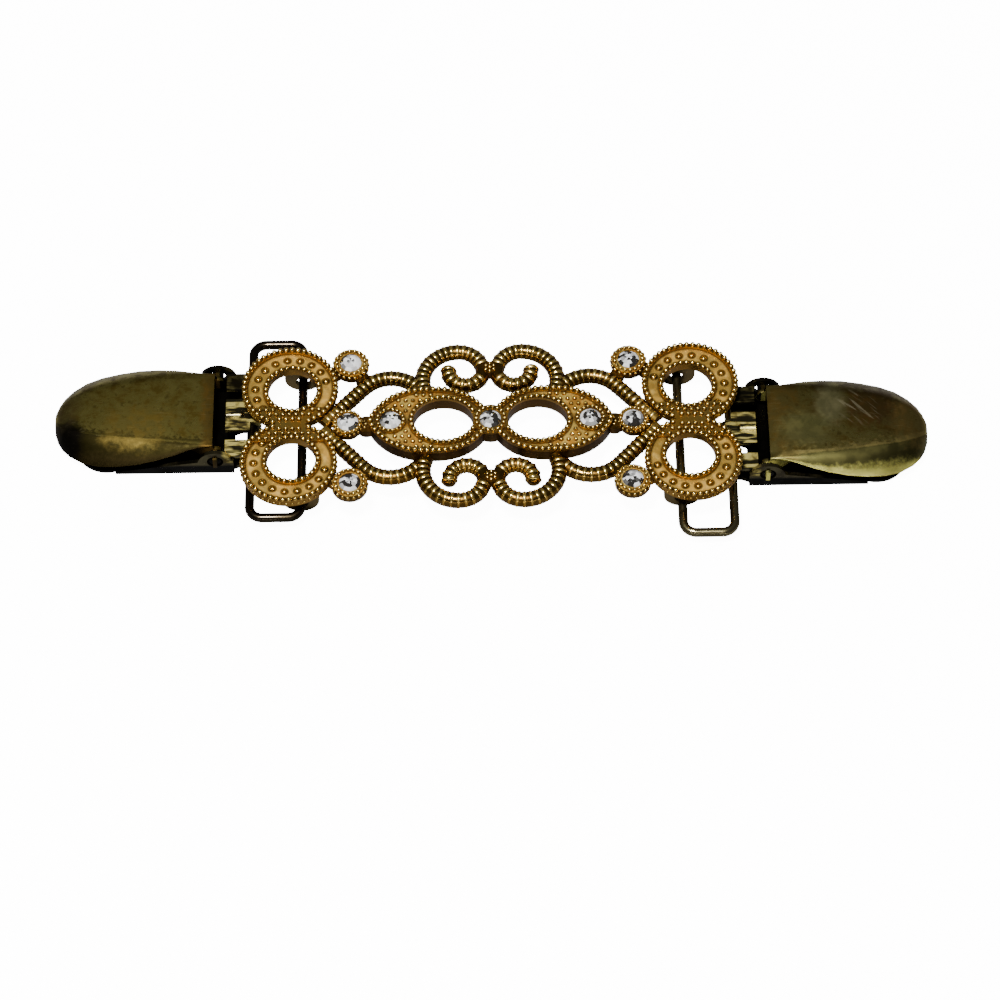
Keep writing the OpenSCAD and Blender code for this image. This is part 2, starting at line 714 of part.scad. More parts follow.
module clip_lever() {
    color("#6f6a3c") {
        cover_shell();
        front_and_back() {
            across(cheek_y - sheet, cheek_y) cheek();
            // Flat tang whose edges turn in the round ear hole, on a round foot that fills the hole
            translate([pivot_x, cheek_y - sheet / 2, pivot_z]) rotate([-90, 0, 0]) {
                intersection() {
                    cylinder(r = tang_r, h = tang_end - cheek_y + sheet / 2);
                    translate([-sheet / 2, -2 * tang_r, 0]) cube([sheet, 4 * tang_r, tang_end]);
                }
                cylinder(r = tang_r - foot_short, h = base_w / 2 - cheek_y + sheet / 2 - foot_short);
            }
        }
        // Lip that closes the cover's end and stiffens the cheeks
        translate([cover_x, -cheek_y + sheet / 2, lip_low])
            cube([sheet, 2 * cheek_y - sheet, cheek_top - lip_low]);
    }
}

module clip_lever_right() { placed_clip(clip_slide - link_slide) clip_lever(); }
module clip_lever_left() { mirror([1, 0, 0]) placed_clip(clip_slide + link_slide) clip_lever(); }

ornament_panel();
stone_centre();
stone_eye_left();
stone_eye_right();
stone_cup_left();
stone_cup_right();
stone_back_left();
stone_back_right();
stone_front_left();
stone_front_right();
link_left();
link_right();
clip_base_left();
clip_base_right();
grip_pad_left();
grip_pad_right();
clip_lever_left();
clip_lever_right();
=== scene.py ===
import math

import bpy
from mathutils import Matrix, Vector


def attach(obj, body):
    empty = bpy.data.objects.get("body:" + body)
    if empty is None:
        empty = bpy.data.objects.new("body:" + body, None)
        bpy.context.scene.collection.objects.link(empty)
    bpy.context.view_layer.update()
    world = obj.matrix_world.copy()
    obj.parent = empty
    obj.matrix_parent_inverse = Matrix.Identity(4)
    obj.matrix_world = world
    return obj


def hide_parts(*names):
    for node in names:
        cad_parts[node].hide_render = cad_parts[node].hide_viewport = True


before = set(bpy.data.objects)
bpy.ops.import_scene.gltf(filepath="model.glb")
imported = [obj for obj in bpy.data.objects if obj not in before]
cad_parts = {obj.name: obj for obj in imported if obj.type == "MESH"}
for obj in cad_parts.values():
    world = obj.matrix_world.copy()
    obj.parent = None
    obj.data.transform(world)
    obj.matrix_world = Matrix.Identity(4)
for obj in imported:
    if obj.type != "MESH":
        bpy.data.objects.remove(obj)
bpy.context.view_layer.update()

mm = 0.001
hair = 1e-6  # a length that counts as none
fullTurn = 359.99  # degrees, just short of a whole turn, so a closed row doesn't repeat its first point


# small tools
def deselectAll():
    if bpy.context.object and bpy.context.object.mode != "OBJECT":
        bpy.ops.object.mode_set(mode="OBJECT")
    bpy.ops.object.select_all(action="DESELECT")


def pickOnly(obj):
    deselectAll()
    obj.select_set(True)
    bpy.context.view_layer.objects.active = obj


def settle(obj):
    # place, turn and size go into the mesh, so the object itself sits at the origin
    pickOnly(obj)
    bpy.ops.object.transform_apply(location=True, rotation=True, scale=True)


def copyOwn(obj, name):
    twin = obj.copy()
    twin.data = obj.data.copy()
    twin.name = name
    twin.data.name = name
    bpy.context.scene.collection.objects.link(twin)
    return twin


def joinAll(pieces, name):
    deselectAll()
    for p in pieces:
        p.select_set(True)
    bpy.context.view_layer.objects.active = pieces[0]
    if len(pieces) > 1:
        bpy.ops.object.join()
    whole = bpy.context.view_layer.objects.active
    whole.name = name
    whole.data.name = name
    return whole


def dropPiece(obj):
    bpy.data.objects.remove(obj, do_unlink=True)


def giveMaterial(obj, material):
    obj.data.materials.clear()
    obj.data.materials.append(material)


def strewAlong(model, name, places):
    # one copy of the modelled piece for each place: x, y, z, turn about Z, length, width and height factors
    pieces = []
    for x, y, z, turn, sx, sy, sz in places:
        twin = copyOwn(model, name + "Bit")
        twin.data.transform(Matrix.Translation((x, y, z)) @ Matrix.Rotation(turn, 4, "Z")
                            @ Matrix.Diagonal((sx, sy, sz, 1)))
        pieces.append(twin)
    return joinAll(pieces, name)


# rows of places on the casting
def arcPoints(cx, cy, r, startDeg, endDeg, steps=60):
    out = []
    for i in range(steps + 1):
        a = math.radians(startDeg + (endDeg - startDeg) * i / steps)
        out.append((cx + r * math.cos(a), cy + r * math.sin(a)))
    return out


def spacedOut(points, pitch, closed=False):
    # even places along a line of points, each with the direction of the line there
    pts = points + ([points[0]] if closed else [])
    runs = [math.dist(pts[i], pts[i + 1]) for i in range(len(pts) - 1)]
    total = sum(runs)
    count = max(1, round(total / pitch))
    step = total / count
    out = []
    for k in range(count if closed else count + 1):
        want = min(k * step, total - hair)
        i = 0
        while want > runs[i] and i < len(runs) - 1:
            want -= runs[i]
            i += 1
        t = want / runs[i] if runs[i] else 0
        (x0, y0), (x1, y1) = pts[i], pts[i + 1]
        out.append((x0 + (x1 - x0) * t, y0 + (y1 - y0) * t, math.atan2(y1 - y0, x1 - x0)))
    return out


def twoWays(rows):
    # the same row at both ends
    out = []
    for x, y, z, turn, *factors in rows:
        out.append((x, y, z, turn, *factors))
        out.append((-x, y, z, math.pi - turn, *factors))
    return out


def fourWays(rows):
    # the same row at both ends, at the back and at the front
    out = []
    for x, y, z, turn, *factors in rows:
        out += twoWays([(x, y, z, turn, *factors), (x, -y, z, -turn, *factors)])
    return out


# sizes of the casting that the beads follow, in mm; a circle is its middle's x and y and its radius
casting = {
    "eyeHalf": 6.7, "eyeCrestX": 9.9, "eyeTipX": 20.9, "eyePast": 0.1, "eyePowers": (2.5, 0.71),
    "eyeTipIn": 1.35, "eyeRootIn": 1.2, "eyeTop": 7.8, "eyeField": 7.45, "eyeHole": (8.0, 5.1, 4.25),
    "loop": (34.254, 7.75, 8.15), "loopHole": (33.804, 7.25, 4.15), "loopTop": 7.05,
    "scrollBend": (5.4, 9.299, 6.15), "scrollTurn": (5.4, 11.249, 4.2), "scrollCurl": (4.15, 11.249, 2.95),
    "scrollTop": 7.3, "strandBend": (17.019, 4.1, 6.2), "strandRun": (21.627, 8.249, 48.0, 10.29),
    "strandTop": 6.9, "cornerCup": (23.843, 12.42), "cupX": 24.28, "cupTop": 7.5,
    "eyeStoneX": 17.0, "collarTop": 7.9,
}


def eyeOutline(margin, steps=72):
    # the eye's edge drawn in by the margin, a little more at its tip and its root than at its sides
    half = casting["eyeHalf"] - margin
    outward = casting["eyeTipX"] - casting["eyeCrestX"] - casting["eyeTipIn"] * margin
    inward = casting["eyeCrestX"] + casting["eyePast"] - casting["eyeRootIn"] * margin
    along, across = casting["eyePowers"]
    upper = []
    for i in range(steps + 1):
        t = math.cos(math.pi * i / steps)
        share = max(0.0, 1 - abs(t) ** along) ** across
        upper.append((casting["eyeCrestX"] + t * (outward if t > 0 else inward), half * share))
    return upper + [(x, -y) for x, y in upper[-2:0:-1]]


def insideOutline(x, y, outline):
    hit = False
    for (x0, y0), (x1, y1) in zip(outline, outline[1:] + outline[:1]):
        if (y0 > y) != (y1 > y) and x < x0 + (y - y0) / (y1 - y0) * (x1 - x0):
            hit = not hit
    return hit


# one bead, modelled once and drawn out for each row; a rib is the same bead, much larger
beadShape = {"segments": 8, "rings": 6, "cut": -0.35, "smooth": 50.0, "lift": 0.1,
             "onRim": (0.95, 1.05), "onSide": (0.95, 0.6), "onBand": (0.95, 0.95)}


def makeBead(name):
    # round cast bead of radius 1 mm with its hidden foot cut off
    deselectAll()
    bpy.ops.mesh.primitive_uv_sphere_add(segments=beadShape["segments"], ring_count=beadShape["rings"],
                                         radius=mm, location=(0, 0, 0))
    ball = bpy.context.object
    ball.name = name
    bpy.ops.object.mode_set(mode="EDIT")
    bpy.ops.mesh.select_all(action="SELECT")
    bpy.ops.mesh.bisect(plane_co=(0, 0, beadShape["cut"] * mm), plane_no=(0, 0, 1), use_fill=True,
                        clear_inner=True)
    bpy.ops.mesh.select_all(action="SELECT")
    bpy.ops.mesh.normals_make_consistent(inside=False)
    bpy.ops.object.mode_set(mode="OBJECT")
    pickOnly(ball)
    bpy.ops.object.shade_smooth_by_angle(angle=math.radians(beadShape["smooth"]))
    return ball


def bead(x, y, top, size, turn=0.0, lengthwise=1.0, across=1.0, tall=1.0):
    # a place for a bead of this diameter in mm, standing on a face at height top
    r = size / 2
    z = top + beadShape["lift"] * size
    return (x * mm, y * mm, z * mm, turn, r * lengthwise, r * across, r * tall)


beadModel = makeBead("castBead")

# beads on the four loops: sizes, pitches, and how far a row keeps from its edge and the middle line
loopBeads = {"edge": 0.99, "edgePitch": 1.05, "edgeIn": 0.33, "edgeFrom": 0.34,
             "hole": 0.93, "holePitch": 1.02, "holeOut": 0.42,
             "side": 0.72, "sideDown": 1.0, "sideIn": 0.02, "sideFrom": 0.6}
# granulated band that the front and back loops share
band = {"bead": 0.86, "pitch": 1.12, "rowShare": 0.88, "rows": 5, "each": 14, "reach": 3.9,
        "fromHole": 1.05, "fromEdge": 1.0}


def loopRows():
    lx, ly, lr = casting["loop"]
    hx, hy, hr = casting["loopHole"]
    top = casting["loopTop"]
    edge = arcPoints(lx, ly, lr - loopBeads["edgeIn"], 0, fullTurn, 200)
    hole = arcPoints(hx, hy, hr + loopBeads["holeOut"], 0, fullTurn, 160)
    wall = arcPoints(lx, ly, lr - loopBeads["sideIn"], 0, fullTurn, 200)
    rows = []
    for x, y, a in spacedOut(edge, loopBeads["edgePitch"], True):
        if y > loopBeads["edgeFrom"]:
            rows.append(bead(x, y, top, loopBeads["edge"], a, *beadShape["onRim"]))
    for x, y, a in spacedOut(hole, loopBeads["holePitch"], True):
        rows.append(bead(x, y, top, loopBeads["hole"], a, *beadShape["onRim"]))
    for x, y, a in spacedOut(wall, loopBeads["edgePitch"], True):
        if y > loopBeads["sideFrom"]:
            rows.append(bead(x, y, top - loopBeads["sideDown"], loopBeads["side"], a, *beadShape["onSide"]))
    return rows


def bandRows():
    lx, ly, lr = casting["loop"]
    hx, hy, hr = casting["loopHole"]
    rows = []
    for j in range(band["rows"]):
        y = j * band["pitch"] * band["rowShare"]
        for i in range(-band["each"], band["each"] + 1):
            x = lx + (i + 0.5 * (j % 2)) * band["pitch"]
            if y > band["reach"] or math.dist((x, y), (hx, hy)) < hr + band["fromHole"]:
                continue
            if math.dist((x, y), (lx, ly)) > lr - band["fromEdge"]:
                continue
            rows.append(bead(x, y, casting["loopTop"], band["bead"], 0.0, *beadShape["onBand"]))
    return rows


bandPlaces = bandRows()
allLoops = fourWays(loopRows()) + fourWays([p for p in bandPlaces if p[1] > hair])
allLoops += twoWays([p for p in bandPlaces if p[1] <= hair])
loopMilgrain = strewAlong(beadModel, "loopMilgrain", allLoops)
print("loops:", len(allLoops), "beads")

# beads on the two eyes: sizes and pitches, and what they keep clear of
eyeBeads = {"edge": 0.97, "edgePitch": 1.04, "edgeIn": 0.34,
            "hole": 0.90, "holePitch": 1.00, "holeOut": 0.38,
            "grain": 0.74, "grainPitch": 1.22, "rowShare": 0.87, "grainIn": 1.2, "grainFromHole": 1.15,
            "grainFromX": 1.0, "rowsEach": 7, "perRow": 24,
            "collarClear": 2.9, "centreClear": 3.0, "grainClear": 0.2, "middleClear": 0.35}


def eyeRows():
    rows = []
    top = casting["eyeTop"]
    ex, halfLong, halfWide = casting["eyeHole"]

    def free(x, y, more=0.0):
        return math.hypot(x, y) > eyeBeads["centreClear"] + more and x > eyeBeads["middleClear"]

    for x, y, turn in spacedOut(eyeOutline(eyeBeads["edgeIn"]), eyeBeads["edgePitch"], True):
        if free(x, y):
            rows.append(bead(x, y, top, eyeBeads["edge"], turn, *beadShape["onRim"]))
    out = eyeBeads["holeOut"]
    hole = [(ex + (halfLong + out) * math.cos(a), (halfWide + out) * math.sin(a))
            for a in (math.radians(deg) for deg in range(0, 360, 3))]
    for x, y, turn in spacedOut(hole, eyeBeads["holePitch"], True):
        if free(x, y):
            rows.append(bead(x, y, top, eyeBeads["hole"], turn, *beadShape["onRim"]))
    # granulated field round the stone and beside the hole
    inner = eyeOutline(eyeBeads["grainIn"])
    clear = eyeBeads["grainFromHole"]
    for j in range(-eyeBeads["rowsEach"], eyeBeads["rowsEach"] + 1):
        y = j * eyeBeads["grainPitch"] * eyeBeads["rowShare"]
        for i in range(eyeBeads["perRow"]):
            x = eyeBeads["grainFromX"] + (i + 0.5 * (j % 2)) * eyeBeads["grainPitch"]
            fromHole = math.hypot((x - ex) / (halfLong + clear), y / (halfWide + clear))
            if fromHole < 1 or not insideOutline(x, y, inner) or not free(x, y, eyeBeads["grainClear"]):
                continue
            if math.dist((x, y), (casting["eyeStoneX"], 0)) < eyeBeads["collarClear"]:
                continue
            rows.append(bead(x, y, casting["eyeField"], eyeBeads["grain"]))
    return rows


allEyes = twoWays(eyeRows())
eyeMilgrain = strewAlong(beadModel, "eyeMilgrain", allEyes)
print("eyes:", len(allEyes), "beads")

# ribbed scrolls and strands: the ribs' sizes, the arcs in degrees, and what the ribs keep clear of
ribs = {"barHalf": 1.3, "rise": 0.16, "halfLong": 0.80, "sink": 0.03,
        "scrollPitch": 1.10, "scrollArcs": ((-12, 90), (92, 180), (182, 364)),
        "strandPitch": 1.12, "strandArc": (132, 42), "runFrom": 1.0,
        "joinClear": 1.6, "loopClear": 8.2, "cupClear": 2.9, "middleClear": 0.9}


def rib(x, y, top, turn):
    # a low rib that follows the round crest of its bar and rises a little over it
    reach = ribs["barHalf"] + ribs["rise"]
    z = top - ribs["sink"] - ribs["barHalf"]
    return (x * mm, y * mm, z * mm, turn, ribs["halfLong"], reach, reach)


def scrollRows():
    line = []
    for part, arc in zip(("scrollBend", "scrollTurn", "scrollCurl"), ribs["scrollArcs"]):
        points = arcPoints(*casting[part], *arc)
        line += points[1:] if line else points
    joinY = casting["scrollTurn"][1]
    return [rib(x, y, casting["scrollTop"], a) for x, y, a in spacedOut(line, ribs["scrollPitch"])
            if math.hypot(x, y - joinY) > ribs["joinClear"]]


def strandRows():
    rx, ry, drop, length = casting["strandRun"]
    down = math.radians(-drop)
    line = arcPoints(*casting["strandBend"], *ribs["strandArc"])
    line += [(rx + k * math.cos(down), ry + k * math.sin(down)) for k in (ribs["runFrom"], length)]
    loopMiddle = casting["loop"][:2]
    rows = []
    for x, y, a in spacedOut(line, ribs["strandPitch"]):
        if math.dist((x, y), loopMiddle) < ribs["loopClear"] or y < ribs["middleClear"]:
            continue
        if math.dist((x, y), (casting["cupX"], 0)) < ribs["cupClear"]:
            continue
        rows.append(rib(x, y, casting["strandTop"], a))
    return rows


allRibs = fourWays(scrollRows()) + fourWays(strandRows())
scrollRibs = strewAlong(beadModel, "scrollRibs", allRibs)
print("scrolls and strands:", len(allRibs), "ribs")

# bead edges of the cups and collars: radius of the row, bead size and number of beads
cupBeads = {"corner": (2.42, 0.76, 17), "middle": (2.16, 0.62, 18), "centre": (2.42, 0.74, 18),
            "eye": (2.22, 0.68, 18)}
# the row round a cup's wall: radius, height and bead size; it has more beads than the edge, and taller ones
wallBeads = {"corner": (2.96, 6.75, 0.72), "middle": (2.5, 6.75, 0.62),
             "more": 2, "shape": (1.0, 0.75, 1.3)}
# clusters where the scrolls meet and at the eyes' outer tips: x, y, height, bead size, beads round it
clusters = {"scrolls": (0, casting["scrollTurn"][1], casting["scrollTop"] - 0.15, 0.8, 6),
            "eyeTips": (21.25, 0, 6.55, 0.7, 5), "rise": 0.05, "ring": 0.95, "outer": 0.85}


def ringOf(cx, cy, top, edge, wall=None):
    radius, size, count = edge
    rows = []
    for i in range(count):
        a = 2 * math.pi * i / count
        rows.append(bead(cx + radius * math.cos(a), cy + radius * math.sin(a), top, size, a + math.pi / 2))
    if wall:
        radius, top, size = wall
        count += wallBeads["more"]
        for i in range(count):
            a = 2 * math.pi * (i + 0.5) / count
            rows.append(bead(cx + radius * math.cos(a), cy + radius * math.sin(a), top, size,
                             a + math.pi / 2, *wallBeads["shape"]))
    return rows


def clusterOf(cx, cy, top, size, count):
    rows = [bead(cx, cy, top + clusters["rise"], size)]
    away = clusters["ring"] * size
    for i in range(count):
        a = 2 * math.pi * (i + 0.5) / count
        rows.append(bead(cx + away * math.cos(a), cy + away * math.sin(a), top, size * clusters["outer"]))
    return rows


cornerX, cornerY = casting["cornerCup"]
cupRows = fourWays(ringOf(cornerX, cornerY, casting["cupTop"], cupBeads["corner"], wallBeads["corner"]))
cupRows += twoWays(ringOf(casting["cupX"], 0, casting["cupTop"], cupBeads["middle"], wallBeads["middle"]))
cupRows += twoWays(ringOf(casting["eyeStoneX"], 0, casting["collarTop"], cupBeads["eye"]))
cupRows += ringOf(0, 0, casting["collarTop"], cupBeads["centre"])
for side in (-1, 1):
    x, y, *rest = clusters["scrolls"]
    cupRows += clusterOf(x, side * y, *rest)
    x, y, *rest = clusters["eyeTips"]
    cupRows += clusterOf(side * x, y, *rest)
cupMilgrain = strewAlong(beadModel, "cupMilgrain", cupRows)
print("cups and collars:", len(cupRows), "beads")
dropPiece(beadModel)

# foil behind each stone, and the height of each stone's widest part
foilShape = {"girdle": 1.81, "tip": 0.01, "depth": 1.36, "facets": 16, "under": 0.12, "wall": 0.012}
stoneHeights = {"collar": 7.85, "cup": 7.45}
stonePlaces = {"stone_centre": (0, 0, stoneHeights["collar"])}
for row, x, y, z in (("eye", casting["eyeStoneX"], 0, stoneHeights["collar"]),
                     ("cup", casting["cupX"], 0, stoneHeights["cup"]),
                     ("back", cornerX, cornerY, stoneHeights["cup"]),
                     ("front", cornerX, -cornerY, stoneHeights["cup"])):
    stonePlaces["stone_" + row + "_left"] = (-x, y, z)
    stonePlaces["stone_" + row + "_right"] = (x, y, z)


def makeFoil():
    # thin faceted cup that lines the seat just under the stone
    deselectAll()
    bpy.ops.mesh.primitive_cone_add(vertices=foilShape["facets"], radius1=foilShape["tip"] * mm,
                                    radius2=foilShape["girdle"] * mm, depth=foilShape["depth"] * mm,
                                    end_fill_type="NOTHING", location=(0, 0, 0))
    foil = bpy.context.object
    foil.name = "foilCup"
    foil.data.transform(Matrix.Translation((0, 0, (-foilShape["under"] - foilShape["depth"] / 2) * mm)))
    bpy.ops.object.mode_set(mode="EDIT")
    bpy.ops.mesh.select_all(action="SELECT")
    bpy.ops.mesh.normals_make_consistent(inside=False)
    bpy.ops.object.mode_set(mode="OBJECT")
    shell = foil.modifiers.new("shell", "SOLIDIFY")
    shell.thickness = foilShape["wall"] * mm
    shell.offset = -1
    bpy.ops.object.modifier_apply(modifier=shell.name)
    return foil


foilModel = makeFoil()
foils = strewAlong(foilModel, "stoneFoils", [(x * mm, y * mm, z * mm, 0.0, 1, 1, 1)
                                             for x, y, z in stonePlaces.values()])
dropPiece(foilModel)
print("foils:", len(stonePlaces))


# material helpers
def newMaterial(name):
    m = bpy.data.materials.new(name)
    m.use_nodes = True
    nodes = m.node_tree.nodes
    nodes.clear()
    out = nodes.new("ShaderNodeOutputMaterial")
    shader = nodes.new("ShaderNodeBsdfPrincipled")
    m.node_tree.links.new(shader.outputs["BSDF"], out.inputs["Surface"])
    return m, m.node_tree, shader


def newGroup(name, inputs, outputs):
    g = bpy.data.node_groups.new(name, "ShaderNodeTree")
    for label, kind, value in inputs:
        s = g.interface.new_socket(label, in_out="INPUT", socket_type=kind)
        s.default_value = value
    for label, kind in outputs:
        g.interface.new_socket(label, in_out="OUTPUT", socket_type=kind)
    return g, g.nodes.new("NodeGroupInput"), g.nodes.new("NodeGroupOutput")


def feed(tree, socket, value):
    if isinstance(value, (int, float, tuple)):
        socket.default_value = value
    else:
        tree.links.new(value, socket)


def placeGroup(tree, group, **values):
    n = tree.nodes.new("ShaderNodeGroup")
    n.node_tree = group
    for label, v in values.items():
        feed(tree, n.inputs[label.replace("_", " ")], v)
    return n


def math2(tree, operation, a, b=None, clamp=False):
    n = tree.nodes.new("ShaderNodeMath")
    n.operation = operation
    n.use_clamp = clamp
    feed(tree, n.inputs[0], a)
    if b is not None:
        feed(tree, n.inputs[1], b)
    return n.outputs[0]


def times(tree, first, *others):
    for v in others:
        first = math2(tree, "MULTIPLY", first, v)
    return first


def plus(tree, a, b):
    # a sum that stays between 0 and 1
    return math2(tree, "ADD", a, b, True)


def lengthOf(tree, a, b):
    return math2(tree, "SQRT", math2(tree, "ADD", times(tree, a, a), times(tree, b, b)))


def axesOf(tree, vector):
    n = tree.nodes.new("ShaderNodeSeparateXYZ")
    tree.links.new(vector, n.inputs[0])
    return n.outputs["X"], n.outputs["Y"], n.outputs["Z"]


def mixColours(tree, factor, a, b):
    n = tree.nodes.new("ShaderNodeMix")
    n.data_type = "RGBA"
    for key, v in (("Factor_Float", factor), ("A_Color", a), ("B_Color", b)):
        feed(tree, [s for s in n.inputs if s.identifier == key][0], v)
    return [s for s in n.outputs if s.identifier == "Result_Color"][0]


def spread(tree, value, low, high, toLow=0.0, toHigh=1.0):
    n = tree.nodes.new("ShaderNodeMapRange")
    n.clamp = True
    n.interpolation_type = "SMOOTHSTEP"
    for label, v in (("Value", value), ("From Min", low), ("From Max", high),
                     ("To Min", toLow), ("To Max", toHigh)):
        feed(tree, n.inputs[label], v)
    return n.outputs["Result"]


def spreadMm(tree, value, ends, toLow=0.0, toHigh=1.0):
    # the same over a stretch given in mm
    return spread(tree, value, ends[0] * mm, ends[1] * mm, toLow, toHigh)


def noiseOf(tree, vector, scale, detail=5.0, rough=0.55):
    n = tree.nodes.new("ShaderNodeTexNoise")
    n.inputs["Detail"].default_value = detail
    n.inputs["Roughness"].default_value = rough
    feed(tree, n.inputs["Scale"], scale)
    tree.links.new(vector, n.inputs["Vector"])
    return n.outputs["Fac"]


def vectorMath(tree, operation, a, b=None):
    n = tree.nodes.new("ShaderNodeVectorMath")
    n.operation = operation
    tree.links.new(a, n.inputs[0])
    if b is not None:
        tree.links.new(b, n.inputs[1])
    return n.outputs["Value" if operation == "LENGTH" else "Vector"]


def hollowMask(tree, reach, low, high):
    # mask for painted shade: 1 in crevices and 0 in the open, looking round as far as the reach in mm
    ao = tree.nodes.new("ShaderNodeAmbientOcclusion")
    ao.samples = 8
    ao.inputs["Distance"].default_value = reach * mm
    return spread(tree, ao.outputs["AO"], low, high, 1.0, 0.0)


def bumpFrom(tree, height, strength, depth, shader):
    b = tree.nodes.new("ShaderNodeBump")
    b.inputs["Strength"].default_value = strength
    b.inputs["Distance"].default_value = depth * mm
    tree.links.new(height, b.inputs["Height"])
    tree.links.new(b.outputs["Normal"], shader.inputs["Normal"])


def finishMetal(tree, shader, colour, rough, height, bump=0.25):
    tree.links.new(colour, shader.inputs["Base Color"])
    tree.links.new(rough, shader.inputs["Roughness"])
    shader.inputs["Metallic"].default_value = 1.0
    bumpFrom(tree, height, bump, 0.05, shader)


# shared effects
def makeAgedMetal():
    # metal whose plating has mottled, with painted shade where the mask says and a worn, brighter skin
    # elsewhere
    g, gin, gout = newGroup("agedMetal", [
        ("Vector", "NodeSocketVector", (0, 0, 0)),
        ("Clean", "NodeSocketColor", (0.8, 0.6, 0.3, 1)), ("Aged", "NodeSocketColor", (0.4, 0.3, 0.1, 1)),
        ("Grime", "NodeSocketColor", (0.03, 0.02, 0.01, 1)), ("Grime Mask", "NodeSocketFloat", 0.0),
        ("Mottle Scale", "NodeSocketFloat", 200.0), ("Fine Scale", "NodeSocketFloat", 2500.0),
        ("Speckle", "NodeSocketFloat", 0.22),
        ("Polished", "NodeSocketFloat", 0.2), ("Dull", "NodeSocketFloat", 0.5)],
        [("Color", "NodeSocketColor"), ("Roughness", "NodeSocketFloat"), ("Height", "NodeSocketFloat")])
    v = gin.outputs["Vector"]
    paintedShade = gin.outputs["Grime Mask"]
    big = noiseOf(g, v, gin.outputs["Mottle Scale"], 6.0, 0.6)
    fine = noiseOf(g, v, gin.outputs["Fine Scale"], 3.0, 0.5)
    mottle = spread(g, big, 0.38, 0.64)
    speck = spread(g, fine, 0.52, 0.7)
    colour = mixColours(g, mottle, gin.outputs["Clean"], gin.outputs["Aged"])
    colour = mixColours(g, times(g, speck, gin.outputs["Speckle"]), colour, gin.outputs["Aged"])
    # painted shade: where the mask says, the colour turns to the shade colour and the surface a little
    # rougher
    colour = mixColours(g, paintedShade, colour, gin.outputs["Grime"])
    g.links.new(colour, gout.inputs["Color"])
    dullness = plus(g, times(g, mottle, 0.8), times(g, speck, 0.2))
    rough = spread(g, dullness, 0.0, 1.0, gin.outputs["Polished"], gin.outputs["Dull"])
    g.links.new(plus(g, rough, times(g, paintedShade, 0.25)), gout.inputs["Roughness"])
    height = math2(g, "ADD", times(g, big, 0.75), times(g, fine, 0.25))
    g.links.new(height, gout.inputs["Height"])
    return g


def makeRaggedPatch():
    # ragged-edged patch round a place
    g, gin, gout = newGroup("raggedPatch", [
        ("Vector", "NodeSocketVector", (0, 0, 0)), ("Place", "NodeSocketVector", (0, 0, 0)),
        ("Shares", "NodeSocketVector", (1, 1, 1)), ("Reach", "NodeSocketFloat", 0.005),
        ("Ragged", "NodeSocketFloat", 0.5), ("Grain", "NodeSocketFloat", 400.0)],
        [("Mask", "NodeSocketFloat")])
    away = vectorMath(g, "SUBTRACT", gin.outputs["Vector"], gin.outputs["Place"])
    far = vectorMath(g, "LENGTH", vectorMath(g, "MULTIPLY", away, gin.outputs["Shares"]))
    rag = noiseOf(g, gin.outputs["Vector"], gin.outputs["Grain"], 6.0, 0.65)
    swing = times(g, math2(g, "SUBTRACT", rag, 0.5), gin.outputs["Ragged"])
    share = math2(g, "ADD", math2(g, "DIVIDE", far, gin.outputs["Reach"]), swing)
    g.links.new(spread(g, share, 0.45, 1.2, 1.0, 0.0), gout.inputs["Mask"])
    return g


agedMetal = makeAgedMetal()
raggedPatch = makeRaggedPatch()

# gilt casting; its colours for crevices, side walls and the grooves between ribs are painted shade, and the
# one for bead tops a painted highlight
gilt = {"clean": (0.98, 0.64, 0.15, 1), "aged": (0.50, 0.27, 0.045, 1), "paintedShade": (0.030, 0.014, 0.005, 1),
        "satin": (0.78, 0.46, 0.085, 1), "wall": (0.33, 0.165, 0.026, 1), "tipHighlight": (1.0, 0.76, 0.24, 1),
        "grooveShade": (0.075, 0.034, 0.006, 1), "field": (1.0, 0.74, 0.17, 1), "cloud": (0.66, 0.30, 0.035, 1),
        "lug": (0.15, 0.115, 0.05, 1), "mottle": 260.0, "fine": 3000.0, "polished": 0.17, "dull": 0.32}
# where its looks change, in mm: heights, and how far out the loops begin
giltEdges = {"floorFrom": (6.50, 6.58), "floorTo": (6.66, 6.74), "fieldFrom": (7.36, 7.42),
             "fieldTo": (7.50, 7.56), "barsTo": (7.31, 7.35), "lugsTo": (5.0, 5.4),
             "loopsFrom": (26.2, 26.6)}
# the eleven domed pips of a loop: middle and radius of their row, its first and last direction in degrees,
# and the ring of painted shade round each pip from its inner to its outer edge
pipRow = {"x": 34.029, "y": 7.5, "r": 6.15, "first": -39.0, "last": 164.0, "gaps": 10,
          "darkFrom": (0.46, 0.62), "darkTo": (0.68, 0.88)}


def pipShadeRings(t, x, y):
    # 1 in the ring of painted shade round each pip, found from the nearest pip's place on its row
    dx = math2(t, "SUBTRACT", math2(t, "ABSOLUTE", x), pipRow["x"] * mm)
    dy = math2(t, "SUBTRACT", math2(t, "ABSOLUTE", y), pipRow["y"] * mm)
    step = math.radians((pipRow["last"] - pipRow["first"]) / pipRow["gaps"])
    first = math.radians(pipRow["first"])
    turn = math2(t, "SUBTRACT", math2(t, "ARCTAN2", dy, dx), first)
    number = math2(t, "ROUND", math2(t, "DIVIDE", turn, step))
    number = math2(t, "MINIMUM", math2(t, "MAXIMUM", number, 0.0), float(pipRow["gaps"]))
    at = math2(t, "ADD", times(t, number, step), first)
    offX = math2(t, "SUBTRACT", dx, times(t, math2(t, "COSINE", at), pipRow["r"] * mm))
    offY = math2(t, "SUBTRACT", dy, times(t, math2(t, "SINE", at), pipRow["r"] * mm))
    far = lengthOf(t, offX, offY)
    return times(t, spreadMm(t, far, pipRow["darkFrom"]), spreadMm(t, far, pipRow["darkTo"], 1.0, 0.0))


